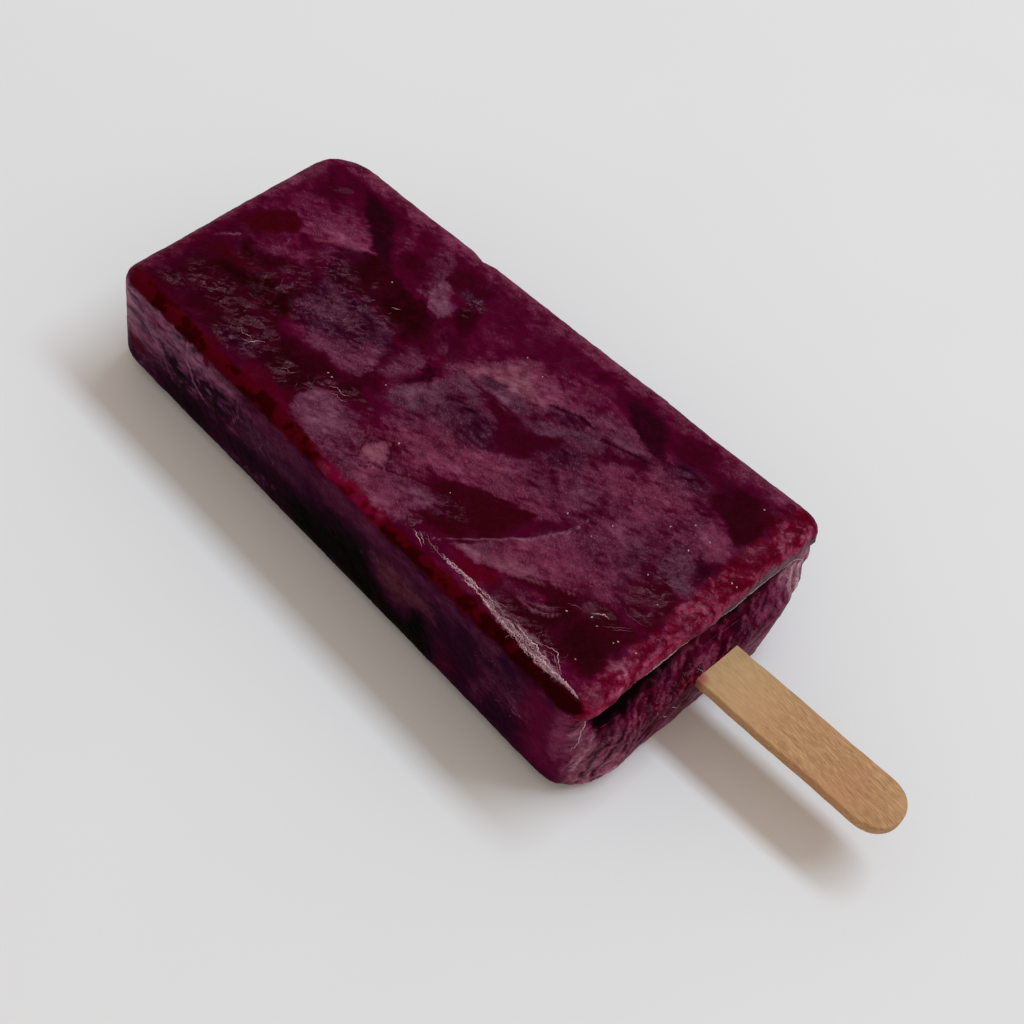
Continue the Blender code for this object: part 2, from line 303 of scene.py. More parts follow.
# The top face: X along the bar, Y across it. (tone, strength, edge softness, outline)
TOP_PATCHES = (
    # broad fields
    ("mauve", 0.75, 3.5, ((-3, 5), (1, 15), (11, 18.4), (24, 17), (37, 16.4), (47, 12.4), (48, -3),
                          (43, -10), (30, -9), (20, -8), (10, -13), (0, -14), (-7, -8))),
    ("berry", 0.6, 3.0, ((-55, 11), (-46, 12), (-40, 6), (-36, 0), (-54, -2))),
    ("wine", 0.7, 3.0, ((-54, 1), (-40, -1), (-31, 1), (-29, -10), (-54, -11))),
    ("dark", 0.85, 2.6, ((-53, -11), (-44, -11), (-36, -12.6), (-28, -12.4), (-17, -14),
                         (-16, -21.5), (-30, -21.5), (-53, -21.5))),
    ("dusk", 0.95, 1.8, ((-32, 2), (-24, 1.8), (-17, 1.6), (-13.5, -1), (-16, -7), (-21, -8),
                         (-27, -9), (-32, -6))),
    # tip end
    ("berry", 0.75, 1.3, ((-52, 13), (-46, 12.6), (-43, 15.2), (-39, 15.8), (-36.5, 14.8),
                          (-33.8, 12.8, 0.4), (-31.4, 10.3, 0.2), (-34.1, 7.9, 0.2),
                          (-37, 6.1, 0.3), (-39.9, 4.7, 0.5), (-44, 4.6), (-50, 7.6))),
    ("pink", 0.85, 2.2, ((-40.5, 13.4), (-37.6, 13.2), (-34.4, 11.8), (-31.6, 10.4, 0.3),
                         (-34.4, 8, 0.3), (-37.4, 6.2, 0.5), (-40.5, 5.2), (-44, 6.4),
                         (-42, 9.4))),
    ("purple", 1.0, 0.8, ((-42.9, 20.8), (-39.5, 19.6), (-36.5, 19.2), (-34.1, 18, 0.4),
                          (-32.2, 15.8, 0.4), (-29.8, 13.8), (-28, 11), (-30.5, 9.8),
                          (-32.4, 11.5, 0.4), (-35, 13.6, 0.4), (-38.5, 15.6, 0.4),
                          (-41.4, 17.4))),
    ("wine", 0.75, 1.2, ((-49.8, 17.6), (-45.6, 17), (-44.6, 13.6), (-48.6, 12.6))),
    ("crimson", 0.9, 0.7, ((-49.3, 4.6), (-46.8, 6.3, 0.3), (-44, 6.3, 0.3), (-42.8, 4.4, 0.3),
                           (-44, 2), (-46.5, 0.2), (-50.5, -1.5), (-51, 2))),
    ("berry", 0.85, 1.0, ((-43.6, 2.4), (-41.5, 4.4), (-38, 3.4), (-36.4, 0.2, 0.3),
                          (-38, -1.7, 0.2), (-40.2, -2.8, 0.2), (-44, -3, 0.3), (-47.6, -2.4),
                          (-45, 0))),
    ("rose", 0.6, 0.8, ((-42.4, 0.4), (-38.6, 1.4), (-37, -0.4, 0.3), (-39.5, -2.2, 0.3),
                        (-43.4, -2.4))),
    ("dark", 0.95, 0.8, ((-47.5, -3, 0.3), (-43, -3.3, 0.2), (-39.8, -2.8, 0.2), (-37.6, -2.4),
                         (-39, -5.4), (-43, -6.6), (-48, -5.6))),
    ("crimson", 0.75, 1.4, ((-49, -7), (-43, -6.8), (-39.4, -7.6), (-42, -9.6), (-49, -9.8))),
    ("black", 0.95, 1.4, ((-46, -10.3), (-40, -8.6), (-36, -6.4), (-33.2, -6), (-31, -7.6),
                          (-29.4, -9.4), (-30.6, -11.4), (-37, -12), (-46, -11.8))),
    # the big dark field near the tip
    ("berry", 0.65, 1.1, ((-39.6, 4.6, 0.4), (-36.4, 6.6, 0.4), (-34, 8.6, 0.3), (-32, 9.6, 0.3),
                          (-32, 4), (-33, 0.8), (-36.6, 2))),
    ("purple", 0.7, 1.0, ((-35.4, 7.6, 0.3), (-32, 9.8, 0.3), (-29, 10.6), (-28, 5), (-29, 0.8),
                          (-33, 1.8), (-34.6, 4.6))),
    ("dark", 0.95, 1.0, ((-31.4, 9.9, 0.4), (-27, 11, 0.3), (-23.5, 10.1, 0.2),
                         (-19.9, 9.7, 0.2), (-18, 10.3, 0.2), (-15.3, 8.7, 0.2),
                         (-13.4, 7.2, 0.4), (-12.8, 4.4), (-14, 1.4), (-18.2, 1.2), (-21.8, 3),
                         (-26.5, 2.4), (-29.6, 2))),
    ("black", 0.6, 1.0, ((-22, 8.8), (-15.5, 8), (-14.2, 4.6), (-18, 3.2), (-23, 4.8))),
    ("gray", 0.4, 1.2, ((-28.6, -0.6), (-24, 0), (-19, -0.4), (-19.6, -2.2), (-24, -4.4),
                        (-28.6, -3.4))),
    ("gray", 0.35, 1.0, ((-30.4, -3.6), (-27, -4.6), (-25, -6.4), (-28, -7), (-31, -6))),
    ("wine", 0.35, 0.9, ((-23.5, -3.6), (-20.5, -3), (-17.6, -4.4), (-18.8, -6.4), (-22, -6.8))),
    ("mauve", 0.95, 1.0, ((-16.4, -2.6), (-14.4, -2.2), (-13.2, -4.8), (-12.7, -7, 0.2),
                          (-12.9, -10, 0.2), (-17.6, -11), (-23, -11.4), (-26.2, -9.8),
                          (-22, -8), (-18.6, -5.6))),
    ("wine", 0.8, 0.7, ((-12.5, -6.6, 0.2), (-9.6, -7), (-8.6, -10.2), (-12.6, -10.6, 0.2))),
    ("dark", 0.75, 1.1, ((-27, -12.6), (-18, -12), (-12, -10.9), (-8, -12.2), (-11, -14),
                         (-16, -16.2), (-17.5, -19.4), (-22, -19.8), (-28, -18.4))),
    # far side, tip half
    ("rose", 0.85, 1.8, ((-44, 22.2), (-40, 22.4), (-36, 21.6), (-33.5, 21), (-30.5, 17.5),
                         (-28.6, 14.8), (-28, 16.4), (-29.8, 19.5), (-32, 24), (-44, 24))),
    ("plum", 0.8, 1.8, ((-31.6, 21.4), (-29, 17), (-26.4, 18), (-25.4, 20.6), (-28, 22.6))),
    ("mauve", 0.75, 1.2, ((-25.4, 20.6), (-22.6, 22), (-20, 20.5), (-19.4, 17), (-19.2, 13.6),
                          (-18.4, 11, 0.4), (-21, 10.9, 0.4), (-21.6, 14), (-24, 17.4))),
    ("wine", 0.9, 0.8, ((-28.3, 15.6), (-26.4, 16.9), (-24.3, 15.6), (-24.2, 13.7),
                        (-26.2, 12.5), (-28.3, 13.6))),
    ("wine", 0.85, 1.3, ((-20.3, 21), (-16, 21.6), (-12, 20.8), (-11.6, 18.4), (-14.4, 17),
                         (-17.2, 15.6), (-19.6, 17.4))),
    ("dusk", 0.8, 0.8, ((-15.5, 18), (-11, 18), (-10.2, 16), (-13, 15.2), (-16, 16.2))),
    ("dark", 0.95, 0.8, ((-13.2, 15), (-10.4, 15.4), (-9.4, 13.6), (-7.8, 10.8), (-9, 9.6),
                         (-11.5, 9.8), (-12.8, 12.2))),
    ("lilac", 0.95, 0.8, ((-20, 17.4, 1.4), (-17.7, 15.6), (-16.1, 14.2), (-13.9, 13.2),
                          (-13.4, 11.3, 0.5), (-14.4, 9.3, 0.2), (-17.2, 10.3, 0.2),
                          (-19, 12.2, 0.4), (-19.6, 15.4, 0.8))),
    ("mauve", 0.6, 1.0, ((-14.6, 9.4), (-12.8, 8.9), (-8.6, 5.4), (-7.4, 3.6), (-9.4, 4.2),
                         (-12.8, 7.2))),
    ("plum", 0.6, 2.4, ((-9, 21.5), (-1, 22), (1, 18), (-1, 13.5), (-4, 9), (-8, 9.6),
                        (-10, 15.5))),
    ("berry", 0.6, 1.8, ((-8, 15), (-2, 16), (-1, 10), (-4, 8), (-8, 9.6))),
    ("rose", 0.5, 1.8, ((-5, 22), (1, 22.6), (3, 20.6), (-1, 19.6))),
    ("wine", 0.5, 1.6, ((-14, 8), (-11.4, 7), (-10, 3.4), (-12.6, 1.4), (-14, 4))),
    ("mauve", 0.95, 1.0, ((-12.6, 1.6), (-9, 2.2), (-7.4, 0.4), (-8.6, -2), (-9, -6),
                          (-12, -6.4), (-12.6, -1.4))),
    # middle
    ("pale", 1.0, 1.8, ((-4.6, 3.6), (-2.5, 7.8), (0, 11.2), (1.2, 13.2), (3.6, 13.8),
                        (6.4, 12.4), (9, 10.6, 0.8), (9.4, 9.2, 0.3), (6.8, 7.8, 0.2),
                        (3, 7.6, 0.2), (0.4, 7.3, 0.3), (-1.6, 4.9, 0.8))),
    ("pink", 0.75, 1.6, ((1, 14), (4.4, 16.6), (8, 15.2), (12.6, 11.9, 0.4), (9.6, 9.8),
                         (6, 12))),
    # Painted highlight: a whitish spot in the pale field.
    ("frost", 0.35, 1.2, ((2.8, 10), (6.4, 10), (7, 8.2), (3, 8))),
    ("gray", 0.95, 0.6, ((-1.4, 5), (0.4, 7.1, 0.3), (3, 7.4, 0.2), (7, 7.5, 0.2), (9.8, 6.8),
                         (9.4, 5.4, 0.4), (5, 4.9, 0.3), (0, 4.4, 0.4))),
    ("gray", 0.95, 0.9, ((-4.4, 3.9), (0, 3.9), (3.8, 2.6), (3.4, 1), (-2.2, 1.2))),
    ("lilac", 0.55, 0.8, ((-3, 3.4), (0.8, 3.2), (2.4, 2), (-1, 1.6))),
    ("wine", 0.9, 0.9, ((1.5, 4.3, 0.3), (7, 4.5, 0.3), (11, 4.6), (17, 7.6), (18.8, 5.4),
                        (16.6, 2.4), (13.4, -2.2), (10, -2.8), (7.6, 1), (4, 1.8))),
    ("dusk", 0.8, 1.6, ((-2, -0.5), (3, 0.8), (8, 0.4), (11, -3), (8, -4.6), (3, -6),
                        (-0.6, -6.4))),
    ("gray", 0.95, 1.1, ((-4.2, 0.4, 0.3), (-4.5, -1, 0.12), (-5.6, -2.1, 0.12),
                         (-5.6, -3.5, 0.12), (-6.6, -4.6, 0.12), (-6.9, -6, 0.12),
                         (-7.5, -7.4, 0.2), (-6.8, -8.8, 0.5), (-3.6, -8.6), (-1.2, -5.4),
                         (-0.4, -2), (-1.6, 0.4))),
    ("lilac", 0.35, 0.9, ((-4.4, -0.6), (-5.6, -2.8, 0.3), (-6.9, -5.6, 0.3), (-7, -7.8),
                          (-5, -7.6), (-4, -4))),
    ("purple", 0.85, 0.6, ((-8.6, 1.6), (-5.4, 0.9), (-4.9, -1, 0.12), (-6, -2.2, 0.12),
                           (-6, -3.6, 0.12), (-7.3, -5.2, 0.2), (-7.7, -3.4), (-7, -1))),
    # far side, middle and stick half
    ("plum", 0.85, 1.8, ((0, 23), (4, 20.6), (7.6, 17.4), (5.4, 15.6), (1.6, 16.4), (-2, 18))),
    ("berry", 0.85, 1.6, ((9, 20), (14, 20.6), (19, 19.8), (21.2, 17.8, 0.3), (17, 14.5),
                          (11.4, 13.4, 0.4), (8, 16))),
    ("mauve", 0.9, 1.0, ((13, 14), (18, 16.4), (22, 17.6, 0.3), (24.7, 16.8, 0.2),
                         (29.2, 15, 0.2), (27.6, 13.7, 0.3), (24, 12.9, 0.3),
                         (20.5, 11.3, 0.3), (17, 12.3, 0.3), (13.6, 11.9, 0.3),
                         (11.6, 12.9, 0.4))),
    ("lilac", 0.55, 1.1, ((19.6, 13.2), (24, 15.8), (28.4, 15, 0.4), (24.4, 13.4), (20.6, 12))),
    ("pink", 0.6, 0.8, ((11.6, 13.2, 0.3), (14, 14.4), (17, 13), (13.6, 12, 0.3))),
    ("purple", 0.95, 0.7, ((17, 22.2, 1.2), (20.5, 23, 1.0), (25, 22.4, 1.0), (27.2, 20.6),
                           (29.2, 18, 0.5), (30.2, 15.4, 0.4), (27.6, 15.9, 0.2),
                           (24.7, 17, 0.2), (22, 17.9, 0.2), (20.3, 19, 0.4),
                           (18.6, 20.6, 0.8))),
    ("dusk", 0.55, 0.7, ((10, 10.8), (13.6, 11.8, 0.3), (17.4, 12.1, 0.3), (16.6, 10.4),
                         (13, 8.8), (10, 8.4))),
    ("gray", 0.9, 0.9, ((11, 5.6), (15.6, 9), (19, 11.2), (22.4, 11.6), (21.6, 8.8),
                        (17.4, 7.8), (13.4, 5.2))),
    ("dusk", 0.7, 1.0, ((18, 6.8), (21.6, 7.4), (22.6, 4.8), (19.6, 1.6), (16.4, 2.4))),
    ("wine", 0.75, 0.7, ((21.4, 8.8), (24, 11.2), (27, 13), (29.8, 14.4), (30.4, 13.2),
                         (27.4, 11.2), (24.2, 9.2), (21.8, 7.4))),
    ("rose", 0.85, 1.8, ((30.6, 13.6), (37, 14.8), (39.4, 11), (38, 5.6), (32, 4.8), (25, 5.6),
                         (24.4, 8.2), (28, 10.6))),
    ("pink", 0.45, 1.4, ((32, 8.4), (37, 8), (39, 4.6), (33, 5.2))),
    ("lilac", 0.5, 1.4, ((23.6, 3.8), (28.6, 3.6), (28.6, 0.8), (24.6, 0.6))),
    ("lilac", 0.35, 1.3, ((32, 2.4), (36, 2), (36, -0.4), (32.6, 0))),
    ("gray", 0.6, 1.6, ((36.4, 2), (41.4, 2), (42.6, -3), (41, -5.6), (37.4, -2))),
    ("pink", 0.9, 1.4, ((42.4, 13), (46, 13.2), (48.2, 10.6), (47.6, 7.8), (44, 8.4))),
    ("gray", 0.85, 1.2, ((42.4, 5.4), (46.4, 6), (48.4, 2.2), (49.4, 0.2), (46.6, -1.6),
                         (43.6, -0.8), (42, 2))),
    ("purple", 0.85, 0.9, ((46.4, 7.6), (49.4, 6.8), (49.8, 2.8), (48.4, 2.4), (46.8, 5.2))),
    ("wine", 0.75, 1.0, ((41, 1.4), (43.2, 0.6), (44, -1.6), (42, -2.4), (40.6, -0.6))),
    ("maroon", 0.85, 1.1, ((43.4, -1.6), (49.8, -1.2), (50.2, -9), (45.6, -9.6), (43, -7.4),
                           (42.6, -4))),
    ("mauve", 0.4, 1.0, ((44, -5), (48, -5.4), (48, -7.4), (44, -7.4))),
    ("wine", 0.75, 1.6, ((28, 23.4), (36, 23.4), (36.6, 19.6), (31, 18.4), (29, 20))),
    ("dusk", 0.85, 1.0, ((30.6, 16), (33, 19.4), (37.4, 18.8), (39.4, 16.2), (36.4, 15.6),
                         (33.6, 15.2))),
    ("mauve", 0.6, 1.0, ((36.4, 24.4), (39.8, 24.4), (39.6, 22.2), (37, 22))),
    ("dark", 0.9, 1.1, ((38.4, 20.6), (41.4, 22.6), (45.6, 23), (49.6, 21.4), (50.2, 14),
                        (47.8, 12.7, 0.5), (45, 14.9, 0.5), (40, 15.8, 0.5), (38.6, 17.6))),
    ("crimson", 0.85, 1.5, ((46.4, 22.6), (50.4, 24), (51.2, 19.4), (48, 19.6))),
    # near half, middle
    ("rose", 0.9, 1.5, ((-4, -12.4), (0, -8.4, 0.5), (4, -6, 0.6), (8, -5.6, 0.6), (12.4, -3.6),
                        (16.8, -3.4), (22, -4), (27, -3), (26.2, -5.2, 0.7), (20.2, -8, 0.5),
                        (16.6, -9.6, 0.5), (12.6, -11.4, 0.6), (9.6, -14.2), (4, -16),
                        (0.6, -15.8), (-2.6, -15.6))),
    ("pink", 0.7, 1.2, ((2.6, -11), (8, -9.8), (12, -8.6), (9.4, -11.6), (5, -13.4),
                        (2, -13))),
    ("mauve", 0.5, 1.4, ((-4, -10.4), (-0.6, -8.6), (2, -7), (0, -11), (-3.4, -12.6))),
    ("berry", 0.55, 1.0, ((8, -14.6), (12, -11.8), (16, -10.2), (13, -9.4), (9, -12.4))),
    ("maroon", 1.0, 1.0, ((9.6, -14.4), (12.8, -11.5, 0.5), (16.8, -9.8, 0.3), (20.2, -8.3, 0.3),
                          (25, -6.4, 0.5), (25.4, -9.6, 0.8), (24.4, -12.4, 0.8),
                          (20.4, -18, 0.2), (17.8, -20.6, 0.4), (13.4, -20.9), (10.4, -18.4))),
    ("dusk", 0.4, 1.2, ((11.6, -15.4), (15, -15.2), (15.6, -18.4), (12, -18.6))),
    ("plum", 0.9, 0.8, ((22.2, -14.6), (24, -9.6), (28, -4.4), (29.6, -3.6), (29, -6.4, 0.3),
                        (26.6, -10.4, 0.25), (24, -14, 0.25))),
    ("wine", 0.6, 0.8, ((26, -7.4), (28.6, -4.6), (28.8, -6.8), (26.6, -9.6))),
    ("rose", 1.0, 1.0, ((19.2, -21.2, 0.4), (20.6, -18.8, 0.15), (24.8, -13.4, 0.15),
                        (28.1, -8.9, 0.15), (29.8, -5.2, 0.2), (33.3, -7.4, 2.0),
                        (40.6, -8, 2.0), (43.2, -10, 1.6), (38.7, -12.2, 0.3),
                        (34, -14.4, 0.2), (30.5, -16.6, 0.2), (28, -18.4, 0.3),
                        (24.2, -20, 0.3))),
    ("pale", 0.85, 0.9, ((24, -19.4), (28.6, -17.8, 0.4), (33.6, -15, 0.3), (31.6, -14.4),
                         (26.6, -15.6))),
    ("lilac", 0.7, 0.8, ((19.4, -20.8), (20.8, -18.8, 0.2), (23.6, -15.6, 0.3), (25, -17.6),
                         (23.6, -19.6))),
    ("berry", 0.5, 1.0, ((29.6, -9), (33, -8.6), (33, -11), (29.4, -11.4))),
    ("cherry", 0.95, 0.6, ((20.6, -21.6, 0.3), (24.6, -20.2, 0.2), (28.2, -18.9, 0.3),
                           (29.2, -20.6), (28, -23), (22.6, -23.3))),
    ("maroon", 1.0, 0.9, ((28.4, -18.6, 0.3), (30.8, -17, 0.15), (34.2, -14.9, 0.15),
                          (38.6, -12.8, 0.2), (44, -11, 0.6), (49.6, -10.6, 0.8),
                          (49.8, -22.4, 0.8), (40, -23.2, 0.8), (29.6, -22.8, 0.8))),
    ("dark", 0.9, 1.8, ((37, -17), (43, -15.4), (49, -16), (49.4, -21.6), (42, -21.8),
                        (34, -20.8))),
    ("berry", 0.7, 0.8, ((28.6, -19.2), (33, -17.2), (36.5, -16.4), (35, -18.6), (30, -21))),
    # near half, toward the tip
    ("slate", 0.6, 1.4, ((-34.6, -19.4), (-30, -18), (-27.2, -17.6), (-26.8, -20), (-31, -21.4),
                         (-34.6, -21))),
    ("mauve", 0.95, 1.1, ((-16.2, -20, 0.3), (-16, -18.2, 0.3), (-14.2, -16.2, 0.5),
                          (-12, -14.9, 0.8), (-8, -15), (-4, -15), (-1, -16), (2.6, -16.6),
                          (8, -16), (13, -16.8), (13.6, -19), (11, -20.8), (12, -24),
                          (4, -25.4), (-6, -25), (-12.4, -24, 0.4), (-14.8, -22.2, 0.3))),
    ("lilac", 0.85, 1.5, ((-16, -18.6, 0.5), (-13, -15.4, 0.8), (-8, -15.8), (-6, -19),
                          (-8, -23), (-14, -22.4))),
    ("pink", 0.85, 1.6, ((0, -19.6), (8, -19.4), (12, -21), (11, -25), (3, -25), (0, -22.6))),
    ("pale", 0.9, 0.35, ((-1.8, -18.6), (-0.7, -15.8), (0.6, -15.4), (1.8, -17), (2.3, -18.6),
                         (0.2, -19.7))),
    ("lilac", 0.75, 0.5, ((8.8, -17.2), (11.4, -16.4), (13.2, -17.6), (11.4, -19),
                          (8.6, -19.2))),
    ("rose", 0.8, 0.6, ((-5.8, -14.8), (-3, -14.6), (-2.2, -16.6), (-5, -17.8), (-7, -16.6))),
    ("cherry", 0.7, 1.0, ((-26.5, -21), (-23, -19.8), (-20, -20.6), (-16.6, -20.8),
                          (-14.4, -22.8), (-11.6, -24.2), (-26, -23.4))),
)

# Dark cracks and pale lines on the top: (tone, strength, half width, relief, route)
TOP_STROKES = (
    ("crimson", 0.95, 0.32, -0.16, ((0.2, -20.0), (4.4, -18.1), (10.1, -15.4), (14.0, -13.4))),
    ("crimson", 0.95, 0.28, -0.14, ((-3.2, -16.0), (0.4, -14.2), (1.4, -16.0), (2.7, -17.9))),
    ("crimson", 0.8, 0.22, -0.10, ((-4.6, -17.0), (-3.6, -16.4), (-1.4, -20.4), (-2.6, -21.4))),
    ("crimson", 0.8, 0.22, -0.10, ((-4.6, -17.0), (-5.0, -18.4), (-2.8, -21.2))),
    ("crimson", 0.7, 0.20, -0.08, ((1.6, -20.0), (0.2, -21.6), (-0.6, -20.4))),
    ("plum", 0.8, 0.34, -0.06, ((6.3, 16.7), (9.0, 15.0), (12.0, 13.1))),
    ("wine", 0.8, 0.40, -0.05, ((-1.4, 4.1), (3.0, 4.3), (8.5, 4.4))),
    ("purple", 0.9, 0.50, -0.05, ((10.2, 10.4), (13.4, 11.7), (16.4, 12.4), (19.0, 12.2))),
    ("purple", 0.85, 0.55, -0.05, ((20.6, 11.6), (23.0, 12.6), (26.0, 13.5), (29.4, 14.4))),
    ("wine", 0.7, 0.45, -0.04, ((34.0, 16.4), (36.4, 18.2), (38.6, 16.6))),
    ("mauve", 0.7, 0.30, 0.03, ((31.4, 13.4), (34.4, 15.4), (38.0, 16.9), (39.6, 16.2))),
    ("frost", 0.6, 0.22, 0.06, ((17.4, -22.2), (20.5, -18.9), (24.7, -13.5), (28.0, -8.9),
                                (29.8, -5.2), (30.3, -0.8))),
    ("pale", 0.7, 0.45, 0.04, ((20.4, -20.8), (24.7, -18.8), (29.7, -17.0), (34.6, -15.2))),
    ("lilac", 0.6, 0.20, 0.04, ((33.0, -14.6), (37.0, -13.4), (41.0, -12.2), (42.6, -12.6))),
    ("pink", 0.7, 0.30, 0.04, ((-51.0, -7.6), (-48.4, -3.8))),
    ("mauve", 0.8, 0.50, 0.02, ((31.4, -18.9), (34.0, -19.4), (36.6, -18.2), (38.4, -16.8))),
    ("pink", 0.7, 0.34, 0.02, ((32.4, -20.2), (36.0, -19.9), (38.4, -18.6), (39.4, -17.2))),
    ("mauve", 0.6, 0.45, 0.0, ((-12.2, 8.6), (-10.2, 7.2), (-7.6, 4.5))),
    ("pink", 0.6, 0.50, 0.0, ((0.0, -13.2), (4.5, -11.9), (9.6, -10.3), (13.4, -8.6))),
    ("mauve", 0.5, 0.30, 0.0, ((-34.0, 5.4), (-36.0, 3.0), (-37.4, 1.0))),
    ("mauve", 0.5, 0.25, 0.0, ((-38.6, 3.6), (-36.0, 3.4), (-32.0, 3.9), (-26.0, 3.6))),
    ("gray", 0.5, 0.30, 0.0, ((10.6, 5.0), (14.0, 7.4), (18.0, 9.4), (22.0, 10.6))),
    ("rose", 0.5, 0.35, 0.0, ((22.0, 9.6), (25.0, 8.2), (29.0, 6.8), (33.0, 6.2))),
)

# Where the fine pale lace shows on the top: (x, y, half length, half width, degrees, amount)
TOP_LACE = (
    (-33.0, 3.4, 5.6, 3.2, -10, 0.75),
    (-24.0, 1.6, 6.5, 2.2, 0, 0.9),
    (-18.4, 1.2, 3.0, 1.6, 0, 0.8),
    (-24.0, -4.0, 8.0, 3.8, -8, 0.8),
    (-35.0, -3.0, 3.6, 4.2, -40, 0.7),
    (-36.0, -6.4, 3.6, 1.8, 15, 0.9),
    (-43.0, -6.4, 4.0, 1.6, 10, 0.5),
    (-29.0, -7.6, 3.2, 1.8, -20, 0.65),
    (-26.2, 6.0, 1.0, 2.0, 10, 0.6),
    (-45.5, 16.6, 2.2, 1.6, 30, 0.5),
    (-36.6, 14.4, 3.6, 1.2, -30, 0.4),
    (-13.0, 16.6, 3.2, 1.9, -12, 1.0),
    (-7.0, 17.0, 3.4, 2.4, 0, 0.35),
    (-11.8, 13.6, 1.6, 1.6, 0, 0.6),
    (-42.0, -15.2, 8.0, 3.4, -6, 0.85),
    (-47.0, -19.4, 3.6, 2.0, 0, 0.6),
    (-33.0, -14.6, 5.0, 2.6, 0, 0.9),
    (-31.0, -19.0, 6.0, 3.2, 12, 1.0),
    (-27.6, -15.6, 2.6, 3.0, 30, 0.9),
    (-21.5, -17.4, 3.0, 3.2, 40, 0.95),
    (-12.6, -14.0, 4.6, 2.0, 12, 1.0),
    (-16.6, -16.4, 3.2, 1.8, 40, 1.0),
    (-8.0, -13.0, 3.0, 1.4, -15, 0.8),
    (-9.6, -6.4, 3.2, 3.8, 0, 0.35),
    (-2.6, -22.6, 5.6, 1.8, -6, 0.55),
    (4.6, -23.6, 6.0, 1.5, 0, 0.6),
    (14.0, -22.4, 4.4, 1.6, -8, 0.95),
    (-15.0, -17.0, 5.0, 4.0, 30, 0.45),
    (-5.0, -18.0, 5.0, 3.0, 0, 0.35),
    (-36.0, -10.0, 8.0, 3.0, -20, 0.45),
    (14.2, -17.0, 4.6, 2.6, 20, 0.6),
    (25.0, 2.4, 5.0, 3.4, -35, 0.35),
    (31.4, -4.6, 2.2, 4.0, 10, 0.5),
    (22.6, 7.6, 3.4, 1.8, 40, 0.4),
    (45.0, 2.0, 4.6, 4.0, -20, 1.0),
    (46.0, -5.6, 4.0, 4.6, 0, 0.95),
    (41.0, 1.0, 3.4, 3.0, -30, 0.6),
    (43.4, 11.0, 3.2, 2.6, 0, 0.5),
    (43.0, -12.6, 3.6, 1.4, 12, 0.7),
    (35.6, -18.6, 3.6, 2.0, 20, 0.6),
    (37.0, -22.4, 9.0, 1.6, 0, 0.7),
    (52.2, 0.0, 2.0, 12.0, 0, 0.6),
)

# The frost crust by the top's near edge, under its strands.
TOP_FROST = (
    ((28.2, -23.6), (31.0, -23.1), (36.0, -23.3), (41.6, -23.4), (44.8, -24.4), (47.4, -25.5),
     (46.2, -26.2), (41.4, -26.0), (36.4, -25.4), (31.6, -24.6), (28.2, -24.2)),
)


# The near side: X along the bar, Z up.
NEAR_PATCHES = (
    ("dusk", 0.9, 2.8, ((-30, 22), (26, 22.5), (26, 18), (0, 17), (-30, 16))),
    ("haze", 0.9, 2.4, ((-57, 23), (-44, 22), (-34, 21.5), (-30, 19), (-36, 14.4), (-42, 9.5),
                        (-50, 9), (-57, 6))),
    ("blush", 0.85, 1.6, ((-57, 22), (-51, 20), (-49.4, 14), (-50.6, 9.6), (-57, 9.6))),
    ("haze", 0.6, 1.4, ((-37, 21), (-24, 21), (-25, 17.6), (-36, 17))),
    ("slate", 0.8, 2.0, ((-51, 9), (-42, 9.6), (-38, 6), (-44, 2), (-51, 2))),
    ("slate", 0.6, 2.4, ((-24, 17), (-6, 16), (-8, 11), (-22, 10))),
    ("plum", 0.7, 1.0, ((-47, 19.2), (-43.4, 19.6), (-42.6, 18), (-44.4, 16.8), (-47, 17.2))),
    ("wine", 0.8, 0.8, ((-51.4, 9.6), (-47.6, 9.6), (-47.4, 7.4), (-49.6, 6.4), (-52.2, 7.6))),
    ("ink", 0.7, 1.0, ((-35.8, 16), (-30, 16.6, 0.4), (-24.2, 16.2, 0.4), (-23.4, 13.6),
                       (-26.4, 11.2), (-30.4, 10.9), (-34.4, 12.8))),
    ("ink", 0.9, 0.9, ((-42.4, 13.6), (-39, 14), (-37.4, 11.4), (-36.8, 9.2), (-39.6, 9.6),
                       (-41.6, 11.6))),
    ("ink", 0.9, 1.8, ((-45, 8), (-38, 8.6), (-30, 9.2), (-18, 9.6), (-8, 11), (2, 15.4),
                       (9, 13), (10, 2), (-44, 2))),
    ("night", 0.9, 2.2, ((-10, 8.4), (-2, 10.6), (6, 12), (10, 9.4), (19, 5), (19, 1),
                         (-8, 1))),
    ("slate", 0.5, 1.4, ((-27, 5.4), (-17, 5.6), (-13, 3), (-26, 2.6))),
    ("brown", 0.95, 1.8, ((9.4, 15.2), (14.4, 17), (22.6, 16.4), (24.4, 13.4), (18.6, 10.8),
                          (11.4, 10.4))),
    ("night", 0.95, 2.0, ((20.4, 11.4), (24.4, 9.4), (25.4, 6), (23.4, 2.4), (18.4, 1.4),
                          (18.8, 6.4))),
    ("wine", 0.5, 2.0, ((27, 10), (30, 6), (27, 2), (26, 6))),
    ("dusk", 0.7, 2.0, ((34, 15.6), (44, 15.6), (44, 9.8), (35, 10))),
    ("plum", 0.75, 2.6, ((43.4, 21.6), (54, 21.6), (54, 3), (46, 3.6), (44, 12))),
    # Painted sheen: a paler upright band near the stick end.
    ("mauve", 0.85, 1.1, ((49.4, 21.6), (52.8, 21.6), (53.4, 12), (52, 8.6), (50.2, 12))),
)

